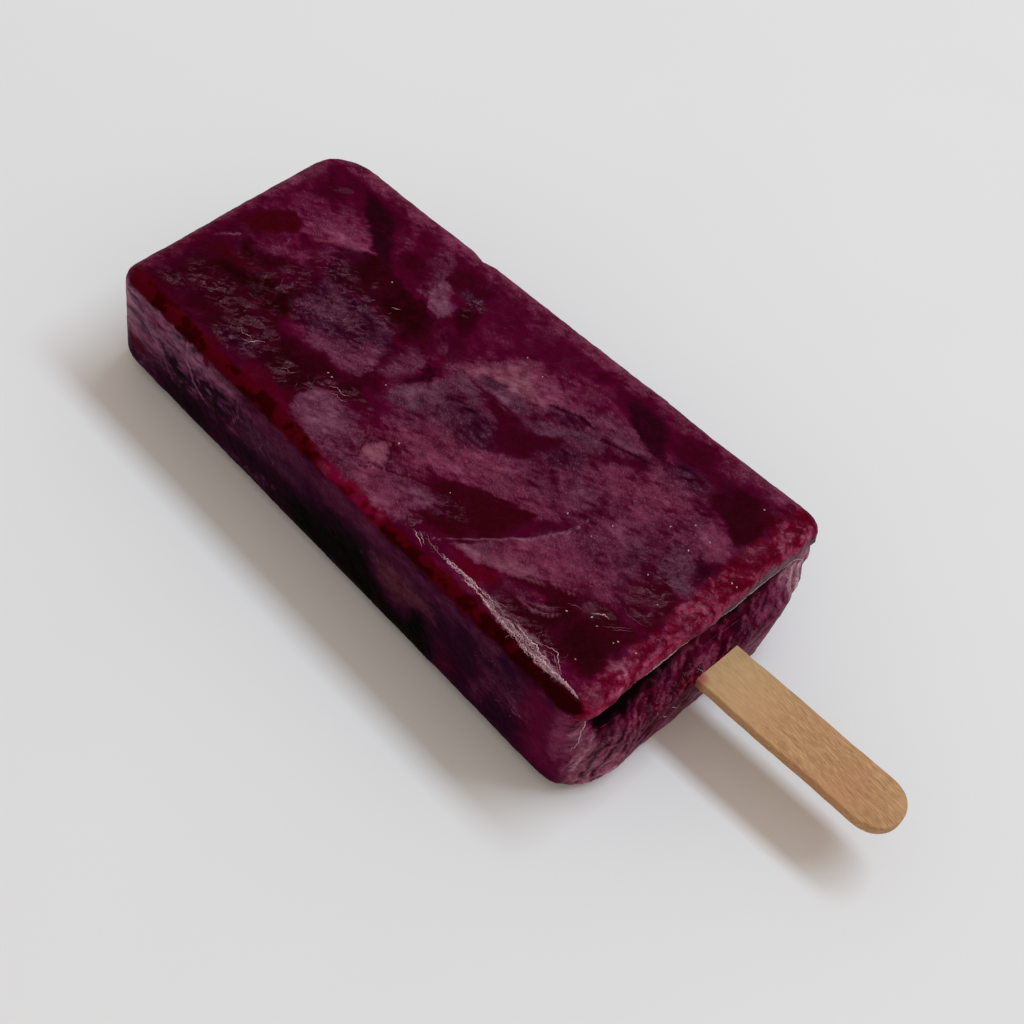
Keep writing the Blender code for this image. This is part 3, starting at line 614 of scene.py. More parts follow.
NEAR_STROKES = (
    ("blush", 0.7, 0.35, 0.0, ((-36.2, 21), (-36.4, 16), (-34.6, 12.6), (-31, 10.4))),
    ("haze", 0.7, 0.30, 0.0, ((-23.4, 19.6), (-23.2, 15.4), (-24.6, 12))),
    ("haze", 0.6, 0.35, 0.0, ((-51, 10.6), (-46, 10.8), (-43, 12.4), (-41.4, 9.2), (-39, 7.8))),
    ("crimson", 0.9, 0.9, 0.0, ((-32, 21.4), (-31.4, 19.4))),
    # Painted highlight: a short pale pink squiggle.
    ("pink", 0.8, 0.22, 0.05, ((42, 11), (43.4, 11.4), (44.4, 11.9))),
    ("pale", 0.8, 0.26, 0.05, ((52, 16.4), (53, 16.8))),
)

NEAR_LACE = (
    (-43.0, 16.0, 9.0, 5.4, 30, 0.8),
    (-34.0, 10.4, 8.0, 1.8, 20, 0.55),
    (-27.0, 18.6, 6.4, 2.0, 0, 0.5),
    (-16.0, 15.0, 8.0, 4.4, 20, 0.4),
    (-18.0, 4.8, 8.0, 1.8, 10, 0.6),
    (12.0, 13.4, 6.0, 4.0, 0, 0.35),
    (40.0, 14.0, 10.0, 5.0, 0, 0.35),
    (43.4, 11.6, 1.6, 0.7, 10, 0.8),
    (50.6, 16.0, 2.0, 6.0, 0, 0.5),
    (55.4, 14.0, 1.8, 12.0, 0, 1.0),
)

# The stick end: Y across the bar, Z up.
END_PATCHES = (
    ("wine", 0.8, 2.0, ((-20, 16), (6, 16), (6, 9), (-14, 8))),
    ("mauve", 0.6, 1.6, ((8, 16), (18, 16.6), (19, 9), (9, 7))),
    ("mauve", 0.8, 1.4, ((-22, 12), (-14, 12), (-15, 7), (-22, 6))),
    ("purple", 0.8, 1.2, ((-14, 12), (-9, 12.6), (-9.4, 8), (-14, 8.6))),
    ("crimson", 0.85, 0.9, ((-6.5, 14.5), (-3, 14.4), (-2.6, 9.4), (-6.4, 10.4))),
    ("lilac", 0.9, 1.8, ((-28, 10), (-20, 9.6), (-16, 7.6), (-10, 4.4), (-10, 0), (-28, 0))),
    ("lilac", 0.95, 1.6, ((-9, 4.6), (-5, 7.6), (0, 7), (7, 9), (12, 9.8), (18, 11.4), (20, 4),
                          (10, 0), (-9, 0))),
    ("blush", 0.7, 1.2, ((-29, 18), (-24.6, 17), (-23.4, 12), (-25.4, 8), (-29, 9))),
    ("frost", 0.85, 1.4, ((19.2, 19.6), (29, 22), (29, 6), (24, 2), (18.6, 4), (19.6, 11))),
)

END_LACE = (
    (-4.0, 12.0, 16.0, 4.0, 0, 0.8),
    (14.0, 12.0, 8.0, 5.0, 0, 0.7),
    (-22.0, 9.0, 4.0, 8.0, 0, 0.8),
    (0.0, 3.4, 24.0, 2.6, 0, 1.0),
    (24.0, 12.0, 3.6, 10.0, 0, 1.0),
    (0.0, 22.0, 28.0, 2.0, 0, 0.6),
)

END_STROKES = (
    ("lilac", 0.7, 0.50, 0.08, ((-26, 2.2), (-20, 2.6), (-14, 3.6), (-10, 3.2))),
    ("frost", 0.6, 0.35, 0.10, ((-25.5, 3.4), (-20, 4.2), (-15.5, 5.6))),
    ("lilac", 0.6, 0.50, 0.10, ((-12, 2.2), (-4, 2.8), (3, 3.6))),
    ("frost", 0.6, 0.40, 0.10, ((-23.6, 15.6), (-24.8, 12.4), (-25.6, 9.4), (-26.2, 6.6))),
    ("night", 0.6, 0.45, -0.08, ((-21.4, 14.6), (-22.8, 10.8), (-24.4, 7.0), (-25.4, 4.8))),
    ("ink", 0.6, 0.60, -0.08, ((-18.6, 14.0), (-20.6, 9.6), (-22.6, 6.0), (-24.2, 3.0))),
    ("ink", 0.5, 0.50, -0.05, ((-15.6, 13.6), (-17.8, 9.4), (-20.0, 6.4))),
)

# Where the frost by the near edge of the top is densest.
RIDGE_SPOTS = (
    (25.6, -23.5, 4.6, 0.6, -2, 0.8),
    (36.5, -24.2, 7.0, 1.2, -5, 1.0),
    (43.6, -25.2, 4.4, 1.0, -8, 1.0),
    (43.4, -23.4, 1.8, 1.0, 30, 0.7),
    (17.0, -23.6, 3.0, 0.8, -20, 0.6),
)


class Block:
    """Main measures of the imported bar, in millimetres."""

    def __init__(self, corners):
        self.tip_x = corners[:, 0].min()
        self.end_x = corners[:, 0].max()
        self.stations = []
        for low, high in ((-47.0, -44.0), (45.0, 50.5)):
            ring = corners[(corners[:, 0] > low) & (corners[:, 0] < high)]
            far = ring[ring[:, 1].argmax()]
            near = ring[ring[:, 1].argmin()]
            top = ring[ring[:, 2].argmax()]
            self.stations.append((far[:2], near[:2], top[[0, 2]]))

    def along(self, which, x):
        first, last = (station[which] for station in self.stations)
        return first[1] + (last[1] - first[1]) * (x - first[0]) / (last[0] - first[0])

    def far_y(self, x):
        return self.along(0, x)

    def near_y(self, x):
        return self.along(1, x)

    def top_z(self, x):
        return self.along(2, x)


def ragged(points, seed):
    """The points with the wandering that gives patches their uneven edges."""
    moved = warped(warped(points, 0.70, 3.6, seed), 0.30, 0.9, seed + 50)
    return moved + 0.55 * (streaks(points, 38.0, 2.4, 0.7, seed + 90)[:, None] - 0.5)


def shaky(points, seed):
    """The points with the slight wandering that keeps strokes from looking ruled."""
    return warped(warped(points, 0.35, 3.0, seed), 0.08, 0.7, seed + 50)


def paint_top(points, block):
    paint = Paint(points, "plum")
    flat = ragged(points, 11)[:, :2]
    x = points[:, 0]
    paint.mix("berry", 0.7 * smooth(0.48, 0.75, clouds(points, 8.0, 21)))
    paint.mix("wine", 0.7 * smooth(0.46, 0.25, clouds(points, 6.0, 22)))
    paint.patches(flat, TOP_PATCHES)
    edge = x - block.tip_x
    edge = np.minimum(edge, block.far_y(x) - points[:, 1]) + 2.4 * (clouds(points, 4.0, 24) - 0.5)
    paint.mix("plum", 0.5 * smooth(6.5, 4.0, edge))
    paint.mix("rose", 0.85 * smooth(5.0, 1.8, edge))
    paint.mix("pink", 0.45 * smooth(2.4, 0.6, edge))
    paint.strokes(shaky(points, 14)[:, :2], TOP_STROKES)
    paint_lip(paint, points, smooth(49.4, 51.0, x + 1.8 * (clouds(points, 2.2, 25) - 0.5)))
    paint.lace = spot_cover(flat, TOP_LACE)
    for outline in TOP_FROST:
        paint.frost = np.maximum(paint.frost, patch_cover(flat, 0.45, outline))
    paint.mix("gray", 0.5 * paint.frost)
    return paint


def paint_lip(paint, points, lip):
    """The lip along the top of the stick end: clear crimson with frosted lumps."""
    mottle = 0.55 * clouds(warped(points, 0.8, 1.8, 28), 2.4, 26)
    mottle += 0.45 * streaks(warped(points, 0.5, 2.0, 29), 82.0, 3.4, 0.9, 30)
    side = points[:, 1]
    frosted = 0.42 + 0.25 * smooth(-10.0, -15.0, side) + 0.2 * smooth(8.0, 16.0, side)
    frosted *= smooth(-26.5, -21.5, side)
    paint.mix("cherry", 0.95 * lip)
    paint.mix("crimson", 0.6 * lip * smooth(0.42, 0.30, mottle))
    paint.mix("rose", frosted * lip * smooth(0.42, 0.58, mottle))
    paint.mix("pale", 0.8 * frosted * lip * smooth(0.54, 0.76, mottle))
    paint.relief += 0.35 * lip * (clouds(points, 1.7, 27) - 0.5)
    paint.brighten(0.12 * lip)
    paint.lift(6.0 * lip)
    paint.grain += lip * (1.5 - paint.grain)


def paint_near(points, block):
    paint = Paint(points, "shade")
    flat = ragged(points, 12)[:, (0, 2)]
    paint.mix("dusk", 0.6 * smooth(0.48, 0.72, clouds(points, 7.0, 31)))
    paint.patches(flat, NEAR_PATCHES)
    paint.strokes(shaky(points, 15)[:, (0, 2)], NEAR_STROKES)
    paint.lace = spot_cover(flat, NEAR_LACE)
    pale = smooth(-14.0, -30.0, points[:, 0]) * smooth(6.0, 12.0, points[:, 2])
    drawn = 0.6 * streaks(points, 30.0, 4.0, 1.1, 32) + 0.4 * streaks(points, 30.0, 2.4, 0.6, 33)
    paint.brighten(pale * 1.1 * (drawn - 0.5))
    paint.mix("haze", 0.55 * pale * smooth(0.60, 0.80, drawn))
    paint.grain = 0.40 + 0.45 * smooth(-14.0, -30.0, points[:, 0]) + 0.3 * smooth(10.0, 35.0, points[:, 0])
    return paint


FOLD_SLOPE = 1.7
FOLD_PITCH = 1.7
PLEAT_PITCH = 2.6
PLEAT_SLOPE = 0.30
# Heights in millimetres down to which the crevice's painted shade reaches.
CREVICE_SHADE_FLOOR = (15.1, 15.4, 16.2, 16.7, 17.1, 17.5, 18.3)


def paint_end(points, block):
    paint = Paint(points, "plum")
    flat = ragged(points, 13)[:, 1:]
    side = points[:, 1]
    height = points[:, 2]
    paint.mix("mauve", 0.7 * smooth(0.50, 0.68, clouds(points, 4.0, 41)))
    paint.mix("purple", 0.8 * smooth(0.48, 0.32, clouds(points, 4.4, 43)))
    paint.patches(flat, END_PATCHES)
    drawn = streaks(warped(points, 0.5, 3.0, 51), 90.0, 6.0, 1.1, 48)
    paint.mix("pale", 0.36 * smooth(0.56, 0.84, drawn))
    paint.mix("night", 0.40 * smooth(0.44, 0.20, drawn))
    lean = flat[:, 0] - flat[:, 1] / FOLD_SLOPE + 0.9 * (clouds(points, 3.0, 46) - 0.5)
    crests = smooth(-0.1, 0.9, np.sin(2.0 * math.pi * lean / FOLD_PITCH))
    folded = smooth(-12.0, -17.0, side) * smooth(15.5, 13.0, height)
    paint.mix("pale", 0.7 * crests * folded)
    paint.relief += 0.10 * crests * folded
    lean = flat[:, 0] - PLEAT_SLOPE * flat[:, 1] + 1.2 * (clouds(points, 4.0, 47) - 0.5)
    pleats = smooth(-0.3, 0.8, np.sin(2.0 * math.pi * lean / PLEAT_PITCH))
    pleated = smooth(15.0, 20.5, side) * smooth(20.0, 17.0, height)
    paint.mix("white", 0.45 * pleats * pleated)
    paint.mix("mauve", 0.45 * (1.0 - pleats) * pleated)
    paint.relief += 0.08 * pleats * pleated
    paint.strokes(shaky(points, 16)[:, 1:], END_STROKES)
    foot = smooth(2.6, 0.9, height + 1.8 * (clouds(points, 1.6, 44) - 0.5))
    paint.mix("frost", 0.6 * foot)
    paint_lip(paint, points, smooth(19.6, 20.6, height + 1.2 * (clouds(points, 2.4, 42) - 0.5)))
    paint.grain[:] = 1.1
    paint.lace = spot_cover(flat, END_LACE)
    return paint


def paint_plain(points, seed, low, middle, high):
    """A face with no laid-out marks: clouds of three tones and scattered lace."""
    paint = Paint(points, middle)
    moved = warped(points, 2.4, 9.0, seed)
    paint.mix(high, 0.9 * smooth(0.52, 0.68, clouds(moved, 10.0, seed + 1)))
    paint.mix(low, 0.95 * smooth(0.48, 0.36, clouds(moved, 8.0, seed + 2)))
    paint.mix("lilac", 0.5 * smooth(0.62, 0.74, clouds(moved, 6.0, seed + 4)))
    paint.lace = smooth(0.50, 0.72, clouds(points, 6.0, seed + 3))
    return paint


def paint_far(points, block):
    return paint_plain(points, 60, "purple", "plum", "mauve")


def paint_tip(points, block):
    return paint_plain(points, 70, "wine", "plum", "rose")


def paint_under(points, block):
    return paint_plain(points, 80, "dark", "wine", "mauve")


MIDDLE_TINT = (73.0, 22.0, 40.0)
MIDDLE_DROP = (0.0, 8.0, 2.0)  # leaves room for the milky grain laid over the paint
CONTRAST = 1.28

FACES = (
    # direction, gain that makes up for how brightly the face is lit, paint
    ((0, 0, 1), 1.0, paint_top),
    ((0, -1, 0), 1.25, paint_near),
    ((1, 0, 0), 1.15, paint_end),
    ((0, 1, 0), 1.0, paint_far),
    ((-1, 0, 0), 1.0, paint_tip),
    ((0, 0, -1), 1.0, paint_under),
)


def face_shares(points, normals, block):
    """How much each face's paint counts at each point."""
    shares = [np.maximum(normals @ np.array(face[0], float), 0.0) ** 5 for face in FACES]
    shares = np.stack(shares, axis=1)
    shares /= shares.sum(axis=1, keepdims=True)
    front = smooth(54.2, 55.0, points[:, 0] - 0.03 * points[:, 1])
    shares *= 1.0 - front[:, None]
    shares[:, 2] += front
    return shares


def painted(points, normals, block):
    """The paint of every point of the skin, each face's share added up."""
    total = Paint(points, "plum")
    total.tint[:] = 0.0
    total.wet[:] = 0.0
    total.grain[:] = 0.0
    shares = face_shares(points, normals, block)
    for i, (direction, gain, face_paint) in enumerate(FACES):
        seen = shares[:, i] > 0.003
        if not seen.any():
            continue
        paint = face_paint(points[seen], block)
        share = shares[seen, i]
        total.tint[seen] += (share * gain)[:, None] * paint.tint
        total.relief[seen] += share * paint.relief
        total.lace[seen] += share * paint.lace
        total.frost[seen] += share * paint.frost
        total.wet[seen] += share * paint.wet
        total.grain[seen] += share * paint.grain
    middle = np.array(MIDDLE_TINT)
    total.tint = middle - np.array(MIDDLE_DROP) + CONTRAST * (total.tint - middle)
    return total


def add_red_band_and_glow(paint, points, block):
    """Clear red juice along the near top edge, wrapping over onto the side; its brightening is a painted
    glow of light shining through the thin edge.
    """
    x = points[:, 0]
    uneven = clouds(points, 2.2, 91) - 0.5
    width = 2.6 + 0.4 * smooth(16.0, 22.0, x) - 0.8 * smooth(-16.0, -6.0, x)
    inward = points[:, 1] - block.near_y(x) + 1.4 * uneven
    drop = block.top_z(x) - points[:, 2] + 0.7 * uneven
    cover = smooth(width + 0.6, width - 0.4, inward) * smooth(1.75, 1.35, drop)
    cover *= smooth(55.2, 53.8, x) * smooth(-54.0, -51.0, x)
    # Painted glow: light shining through the thin edge, strongest in the middle stretch, where the band
    # turns magenta and rose.
    painted_glow = smooth(-6.0, -2.0, x) * smooth(11.0, 8.5, x)
    mottle = clouds(points, 2.4, 92)
    paint.mix("red", cover)
    paint.mix("blood", cover * smooth(0.58, 0.40, mottle) * (1.0 - painted_glow))
    paint.mix("blood", 0.85 * cover * smooth(30.0, 36.0, x))
    paint.mix("crimson", 0.8 * cover * smooth(0.55, 0.75, mottle))
    paint.mix("magenta", cover * painted_glow * smooth(0.25, 0.50, mottle))
    paint.mix("rose", 0.7 * cover * painted_glow * smooth(0.62, 0.80, mottle))
    paint.frost *= 1.0 - cover
    paint.lace *= 1.0 - 0.85 * cover
    paint.wet += 0.4 * cover
    paint.grain *= 1.0 - 0.5 * cover
    # Painted glow: the whole band is brightened, less toward the stick end.
    paint.brighten(0.17 * cover * (1.0 - 0.8 * smooth(30.0, 36.0, x)))


def add_grain(paint, points):
    """Milky and clear spots at every size down to the skin's own points."""
    milk = 24.0 * (clouds(points, 5.0, 101) - 0.5)
    milk += 24.0 * (clouds(points, 1.8, 102, 3) - 0.5)
    milk += 36.0 * (streaks(points, 38.0, 4.0, 0.7, 103) - 0.5)
    milk += 22.0 * (streaks(points, -32.0, 4.0, 0.7, 106) - 0.5)
    paint.lift(paint.grain * milk * smooth(-16.0, 20.0, paint.tint[:, 1]))
    veil = smooth(0.50, 0.85, clouds(warped(points, 1.2, 4.0, 104), 3.4, 107))
    paint.mix("mauve", 0.30 * veil * np.minimum(paint.grain, 1.0))
    paint.mix("rose", 0.14 * ridges(warped(points, 1.2, 4.0, 104), 6.5, 105))


def add_rim(paint, points):
    """The frosted strip along the lower edge of the lip, wider on the far half."""
    far = smooth(-8.0, 4.0, points[:, 1])
    away = np.abs(points[:, 2] - 20.7 - 0.7 * far + 1.2 * (clouds(points, 2.0, 45) - 0.5))
    reach = 0.6 + 1.0 * far
    cover = smooth(reach, 0.4 * reach, away) * smooth(52.8, 53.6, points[:, 0])
    lines = smooth(0.48, 0.68, streaks(points, 90.0, 4.0, 0.5, 49))
    paint.mix("haze", (0.5 + 0.35 * far) * cover)
    paint.mix("frost", lines * cover * (0.3 + 0.4 * far))


def crevice_shade_floor(side):
    """How low the painted shade of the crevice under the lip reaches, in millimetres, across the end."""
    return np.interp(side, (-22.6, -20.0, -14.0, -8.0, 0.0, 15.0, 20.0), CREVICE_SHADE_FLOOR)


def add_crevice_shade(paint, points):
    """Painted shade: near-black in the crevice between the lip and the rest of the stick end."""
    side = points[:, 1] + 1.2 * (clouds(points, 2.6, 94) - 0.5)
    height = points[:, 2]
    ragged_floor = crevice_shade_floor(side) + 1.3 * (clouds(points, 1.6, 95) - 0.5)
    ragged_top = 20.2 + 0.9 * (clouds(points, 1.8, 96) - 0.5)
    cover = smooth(ragged_floor - 0.5, ragged_floor + 1.1, height)
    cover *= smooth(ragged_top + 0.2, ragged_top - 0.3, height)
    cover *= smooth(52.2, 53.0, points[:, 0]) * smooth(-24.2, -22.6, side)
    cover *= smooth(24.0, 20.0, side) * (1.0 - 0.5 * smooth(6.0, 2.0, np.abs(side)))
    paint.mix("night", cover)
    paint.grain *= 1.0 - 0.8 * cover
    paint.lace *= 1.0 - cover


def relief_height(paint, points, normals):
    """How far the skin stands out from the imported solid, in millimetres."""
    height = paint.relief - 0.15
    height += 0.16 * (clouds(points, 7.0, 111) - 0.5)
    height += 0.12 * (clouds(points, 2.4, 112) - 0.5)
    height += 0.06 * (clouds(points, 0.9, 113, 2) - 0.5)
    strands = points * (0.30, 1.0, 1.0)
    crust = ridges(warped(strands, 0.25, 1.2, 114), 0.9, 115, 2)
    height += paint.frost * 0.16 * crust
    return height * smooth(-0.85, -0.55, normals[:, 2])


# Building the skin.


def mesh_object(name, mesh):
    made = bpy.data.objects.new(name, mesh)
    bpy.context.scene.collection.objects.link(made)
    return made


def apply_modifiers(piece):
    graph = bpy.context.evaluated_depsgraph_get()
    finished = bpy.data.meshes.new_from_object(piece.evaluated_get(graph))
    old = piece.data
    piece.modifiers.clear()
    piece.data = finished
    bpy.data.meshes.remove(old)


def without_slot(source):
    """The bar's solid with the hidden slot cut away and its mouth closed behind the face."""
    low, high = (np.array(corner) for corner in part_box("stick"))
    low -= SLOT_CLEAR
    high += SLOT_CLEAR
    shell = bmesh.new()
    shell.from_mesh(source.data)
    bmesh.ops.remove_doubles(shell, verts=shell.verts, dist=0.00001)
    hidden = []
    for vert in shell.verts:
        inside = all(low[i] < vert.co[i] < high[i] for i in (1, 2))
        if inside and -0.045 < vert.co.x < SLOT_MOUTH_X:
            hidden.append(vert)
    bmesh.ops.delete(shell, geom=hidden, context="VERTS")
    rim = [edge for edge in shell.edges if edge.is_boundary]
    bmesh.ops.holes_fill(shell, edges=rim)
    bmesh.ops.recalc_face_normals(shell, faces=shell.faces)
    mesh = bpy.data.meshes.new("bar_skin")
    shell.to_mesh(mesh)
    shell.free()
    return mesh


def remeshed(skin):
    """An even, fine mesh; the hidden underside is thinned to hold the triangle limit."""
    remesh = skin.modifiers.new("remesh", "REMESH")
    remesh.mode = "VOXEL"
    remesh.voxel_size = SKIN_VOXEL
    apply_modifiers(skin)
    mesh = skin.data
    group = skin.vertex_groups.new(name="coarse")
    hidden = np.nonzero(vertex_normals(mesh)[:, 2] < -0.7)[0]
    group.add(hidden.tolist(), 1.0, "REPLACE")
    mesh.calc_loop_triangles()
    thin = skin.modifiers.new("thin", "DECIMATE")
    thin.ratio = min(SKIN_TRIANGLES / len(mesh.loop_triangles), 1.0)
    thin.vertex_group = "coarse"
    thin.use_collapse_triangulate = True
    apply_modifiers(skin)
    skin.vertex_groups.clear()


def vertex_positions(mesh):
    values = np.empty(len(mesh.vertices) * 3, np.float32)
    mesh.vertices.foreach_get("co", values)
    return values.reshape(-1, 3).astype(float)


def vertex_normals(mesh):
    values = np.empty(len(mesh.vertices) * 3, np.float32)
    mesh.vertex_normals.foreach_get("vector", values)
    return values.reshape(-1, 3).astype(float)


def store_number(mesh, name, values):
    layer = mesh.attributes.new(name, "FLOAT", "POINT")
    layer.data.foreach_set("value", np.clip(values, 0.0, 1.0).astype(np.float32))


def store_color(mesh, name, values):
    layer = mesh.attributes.new(name, "FLOAT_COLOR", "POINT")
    rows = np.ones((len(values), 4), np.float32)
    rows[:, :3] = values
    layer.data.foreach_set("color", rows.ravel())


def build_bar(source):
    skin = mesh_object("ice_bar_skin", without_slot(source))
    remeshed(skin)
    mesh = skin.data
    places = vertex_positions(mesh)
    normals = vertex_normals(mesh)
    points = places / MM
    block = Block(vertex_positions(source.data) / MM)
    paint = painted(points, normals, block)
    add_grain(paint, points)
    # Red juice by the near top edge, with a painted glow.
    add_red_band_and_glow(paint, points, block)
    add_rim(paint, points)
    # Painted shade in the crevice under the lip.
    add_crevice_shade(paint, points)
    height = relief_height(paint, points, normals)
    places += normals * height[:, None] * MM
    low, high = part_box("ice_bar")
    places = np.clip(places, low, high)
    mesh.vertices.foreach_set("co", places.astype(np.float32).ravel())
    mesh.update()
    store_color(mesh, "tint", srgb_to_linear(np.clip(paint.tint, 0.0, 255.0)))
    store_number(mesh, "lace", paint.lace)
    store_number(mesh, "frost", paint.frost)
    store_number(mesh, "wet", paint.wet)
    store_number(mesh, "grain", 0.5 * paint.grain)
    mesh.polygons.foreach_set("use_smooth", np.ones(len(mesh.polygons), bool))
    mesh.materials.clear()
    mesh.materials.append(juice_material())
    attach(skin, "root")
    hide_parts("ice_bar")
    return skin


# Frost threads and ice glints: small closed meshes that lie on the skin. The glints' pale colour is a
# painted highlight.

THREAD_STEP = 0.24  # millimetres between the points of a thread
THREAD_SINK = 0.05
TOP_VIEW = (Vector((0.0, 0.0, -1.0)), lambda a, b: (a, b, 40.0))
NEAR_VIEW = (Vector((0.0, 1.0, 0.0)), lambda a, b: (a, -60.0, b))
END_VIEW = (Vector((-1.0, 0.0, 0.0)), lambda a, b: (80.0, a, b))

# The frost by the near edge of the top lies between these two lines.
RIDGE_OUTER = ((19.5, -23.6), (28.5, -24.0), (34.0, -25.0), (40.0, -25.9), (45.0, -26.0),
               (48.4, -25.5), (51.0, -25.8))
RIDGE_INNER = ((19.5, -23.1), (28.5, -23.2), (34.0, -23.3), (40.0, -23.8), (44.0, -24.4),
               (48.4, -25.2), (51.0, -25.1))
RIDGE_COUNT = 72

# Single strands on the top: (half width, height, shade, route)
TOP_STRANDS = (
    (0.13, 0.12, 1.0, ((20.2, -23.3), (22.6, -23.7), (24.0, -23.1), (26.4, -23.4), (29.0, -23.4))),
    (0.10, 0.10, 0.9, ((23.6, -23.9), (24.8, -23.2), (27.0, -23.1), (29.2, -23.5), (31.6, -23.2))),
    (0.09, 0.09, 0.9, ((41.0, -23.2), (42.4, -22.5), (43.6, -22.4), (44.6, -23.4), (46.6, -24.8))),
    (0.07, 0.07, 0.7, ((42.0, -23.5), (43.4, -23.0), (44.6, -23.9), (45.8, -24.6))),
    (0.08, 0.07, 0.6, ((29.8, -22.6), (31.6, -22.9), (33.0, -22.5), (34.2, -22.7))),
    (0.10, 0.09, 0.9, ((14.0, -23.3), (15.6, -23.9), (16.4, -24.3), (17.4, -24.8))),
    (0.09, 0.08, 0.8, ((15.0, -22.9), (16.2, -23.6), (17.4, -24.2))),
    (0.08, 0.08, 0.7, ((16.0, -22.4), (17.4, -23.2), (19.6, -23.6), (21.6, -23.7))),
    (0.06, 0.05, 0.3, ((17.5, -22.1), (20.5, -18.9), (24.7, -13.5), (27.0, -10.2))),
    (0.05, 0.05, 0.3, ((27.4, -9.6), (29.2, -6.4), (29.9, -3.4), (30.0, -1.0))),
    (0.07, 0.06, 0.4, ((32.0, -18.6), (34.2, -19.4), (36.4, -18.5), (37.8, -17.0), (39.0, -15.6))),
    (0.07, 0.06, 0.4, ((33.6, -20.0), (36.4, -19.7), (38.2, -18.4), (39.2, -17.0))),
    (0.07, 0.07, 0.6, ((38.4, -15.0), (40.0, -14.2), (41.4, -14.2))),
    # A painted glint: a bright squiggle among the glint chips.
    (0.10, 0.12, 1.0, ((42.2, -13.7), (42.8, -12.8), (43.6, -12.2), (44.6, -12.3))),
    (0.07, 0.06, 0.5, ((44.6, -14.2), (46.0, -12.8), (47.2, -11.6), (48.0, -10.8))),
    (0.07, 0.06, 0.5, ((46.0, -13.6), (47.2, -12.2), (48.4, -11.2))),
    (0.06, 0.05, 0.4, ((44.4, -9.0), (46.0, -9.6), (47.6, -9.4), (49.2, -8.8))),
    (0.08, 0.06, 0.6, ((44.6, -0.8), (46.8, -0.6), (48.2, 0.4), (49.4, 0.6))),
    (0.06, 0.05, 0.5, ((-50.4, -7.0), (-49.4, -5.4), (-48.4, -3.8))),
    (0.08, 0.08, 0.8, ((-20.6, 4.6), (-19.8, 5.2), (-19.2, 5.5))),
    (0.07, 0.07, 0.8, ((-32.6, -17.4), (-31.4, -17.9), (-30.2, -17.4), (-29.2, -17.8))),
    (0.07, 0.07, 0.9, ((-30.8, -18.8), (-29.4, -18.4), (-28.6, -17.0), (-27.6, -16.4))),
    (0.06, 0.06, 0.7, ((-22.6, -18.6), (-21.4, -17.4), (-20.4, -17.6), (-19.6, -16.6))),
    (0.07, 0.07, 0.9, ((-14.6, -14.6), (-13.4, -13.8), (-12.0, -14.2), (-10.8, -13.4))),
    (0.06, 0.06, 0.8, ((-13.4, -15.4), (-12.4, -14.8), (-11.4, -15.2), (-10.2, -14.6))),
)

# The thin frosted line under the lip, and a few lines on the mound below it: Y, Z.
END_STRANDS = (
    (0.16, 0.14, ((-26.6, 12.0), (-25.8, 15.4), (-24.4, 18.2), (-21.6, 19.5), (-17.4, 20.0))),
    (0.14, 0.12, ((-18.0, 19.9), (-13.4, 20.3), (-10.2, 21.0), (-6.0, 20.5), (-1.6, 20.8))),
    (0.14, 0.12, ((-2.2, 20.7), (3.0, 20.4), (8.0, 20.7), (13.4, 20.2), (18.6, 20.5))),
    (0.12, 0.10, ((17.6, 20.4), (21.0, 19.6), (23.6, 18.0), (25.0, 15.0))),
    (0.12, 0.10, ((19.0, 19.4), (20.6, 15.6), (20.4, 11.0), (22.0, 6.6))),
    (0.10, 0.09, ((21.6, 18.8), (23.0, 14.0), (22.6, 9.4), (23.6, 5.8))),
    (0.09, 0.09, ((-2.4, 14.6), (-1.4, 13.0), (-1.0, 11.4))),
    (0.08, 0.08, ((-7.6, 9.6), (-6.8, 8.4), (-6.0, 7.6))),
    (0.08, 0.08, ((-9.4, 9.0), (-8.8, 7.8), (-8.2, 7.2))),
    (0.12, 0.10, ((-25.4, 3.6), (-19.0, 2.6), (-12.6, 2.4), (-6.0, 2.6))),
)

# Bright chips whose pale colour is a painted glint: (x, y, reach in millimetres)
GLINTS = (
    (27.2, -3.0, 0.14), (39.4, -16.1, 0.14), (48.1, -14.2, 0.12), (41.7, 10.9, 0.12),
    (44.1, 6.4, 0.15), (39.3, 7.6, 0.11), (12.8, -14.3, 0.11), (45.3, 10.2, 0.12),
    (-24.6, 8.6, 0.12), (-15.6, -13.0, 0.15), (-16.6, -12.9, 0.11), (0.9, -13.9, 0.15),
    (33.4, 0.6, 0.12), (32.6, -3.4, 0.10), (46.8, 21.8, 0.11), (42.6, -14.0, 0.14),
    (43.4, -12.4, 0.14), (44.2, -14.6, 0.11), (47.8, -14.9, 0.10), (46.0, -21.2, 0.10),
    (53.4, 7.2, 0.12), (52.5, 7.0, 0.12), (51.2, -13.6, 0.11), (-9.0, -7.4, 0.11),
    (5.6, 13.8, 0.10), (1.2, 14.8, 0.10), (43.0, -1.8, 0.11), (47.6, -4.8, 0.10),
)

# Squiggles: view, spots, lowest and highest place, how many are tried, spread of headings, shade
SQUIGGLES = (
    (TOP_VIEW, TOP_LACE, ((-52, -25), (50, 24)), 430, 1.0, 0.55),
    (TOP_VIEW, RIDGE_SPOTS, ((14, -26.6), (50, -22)), 500, 0.10, 0.9),
    (NEAR_VIEW, NEAR_LACE, ((-52, 2), (55, 20)), 420, 1.0, 0.5),
    (END_VIEW, END_LACE, ((-26, 2), (26, 20)), 380, 1.0, 0.6),
)
SQUIGGLE_SEED = 20


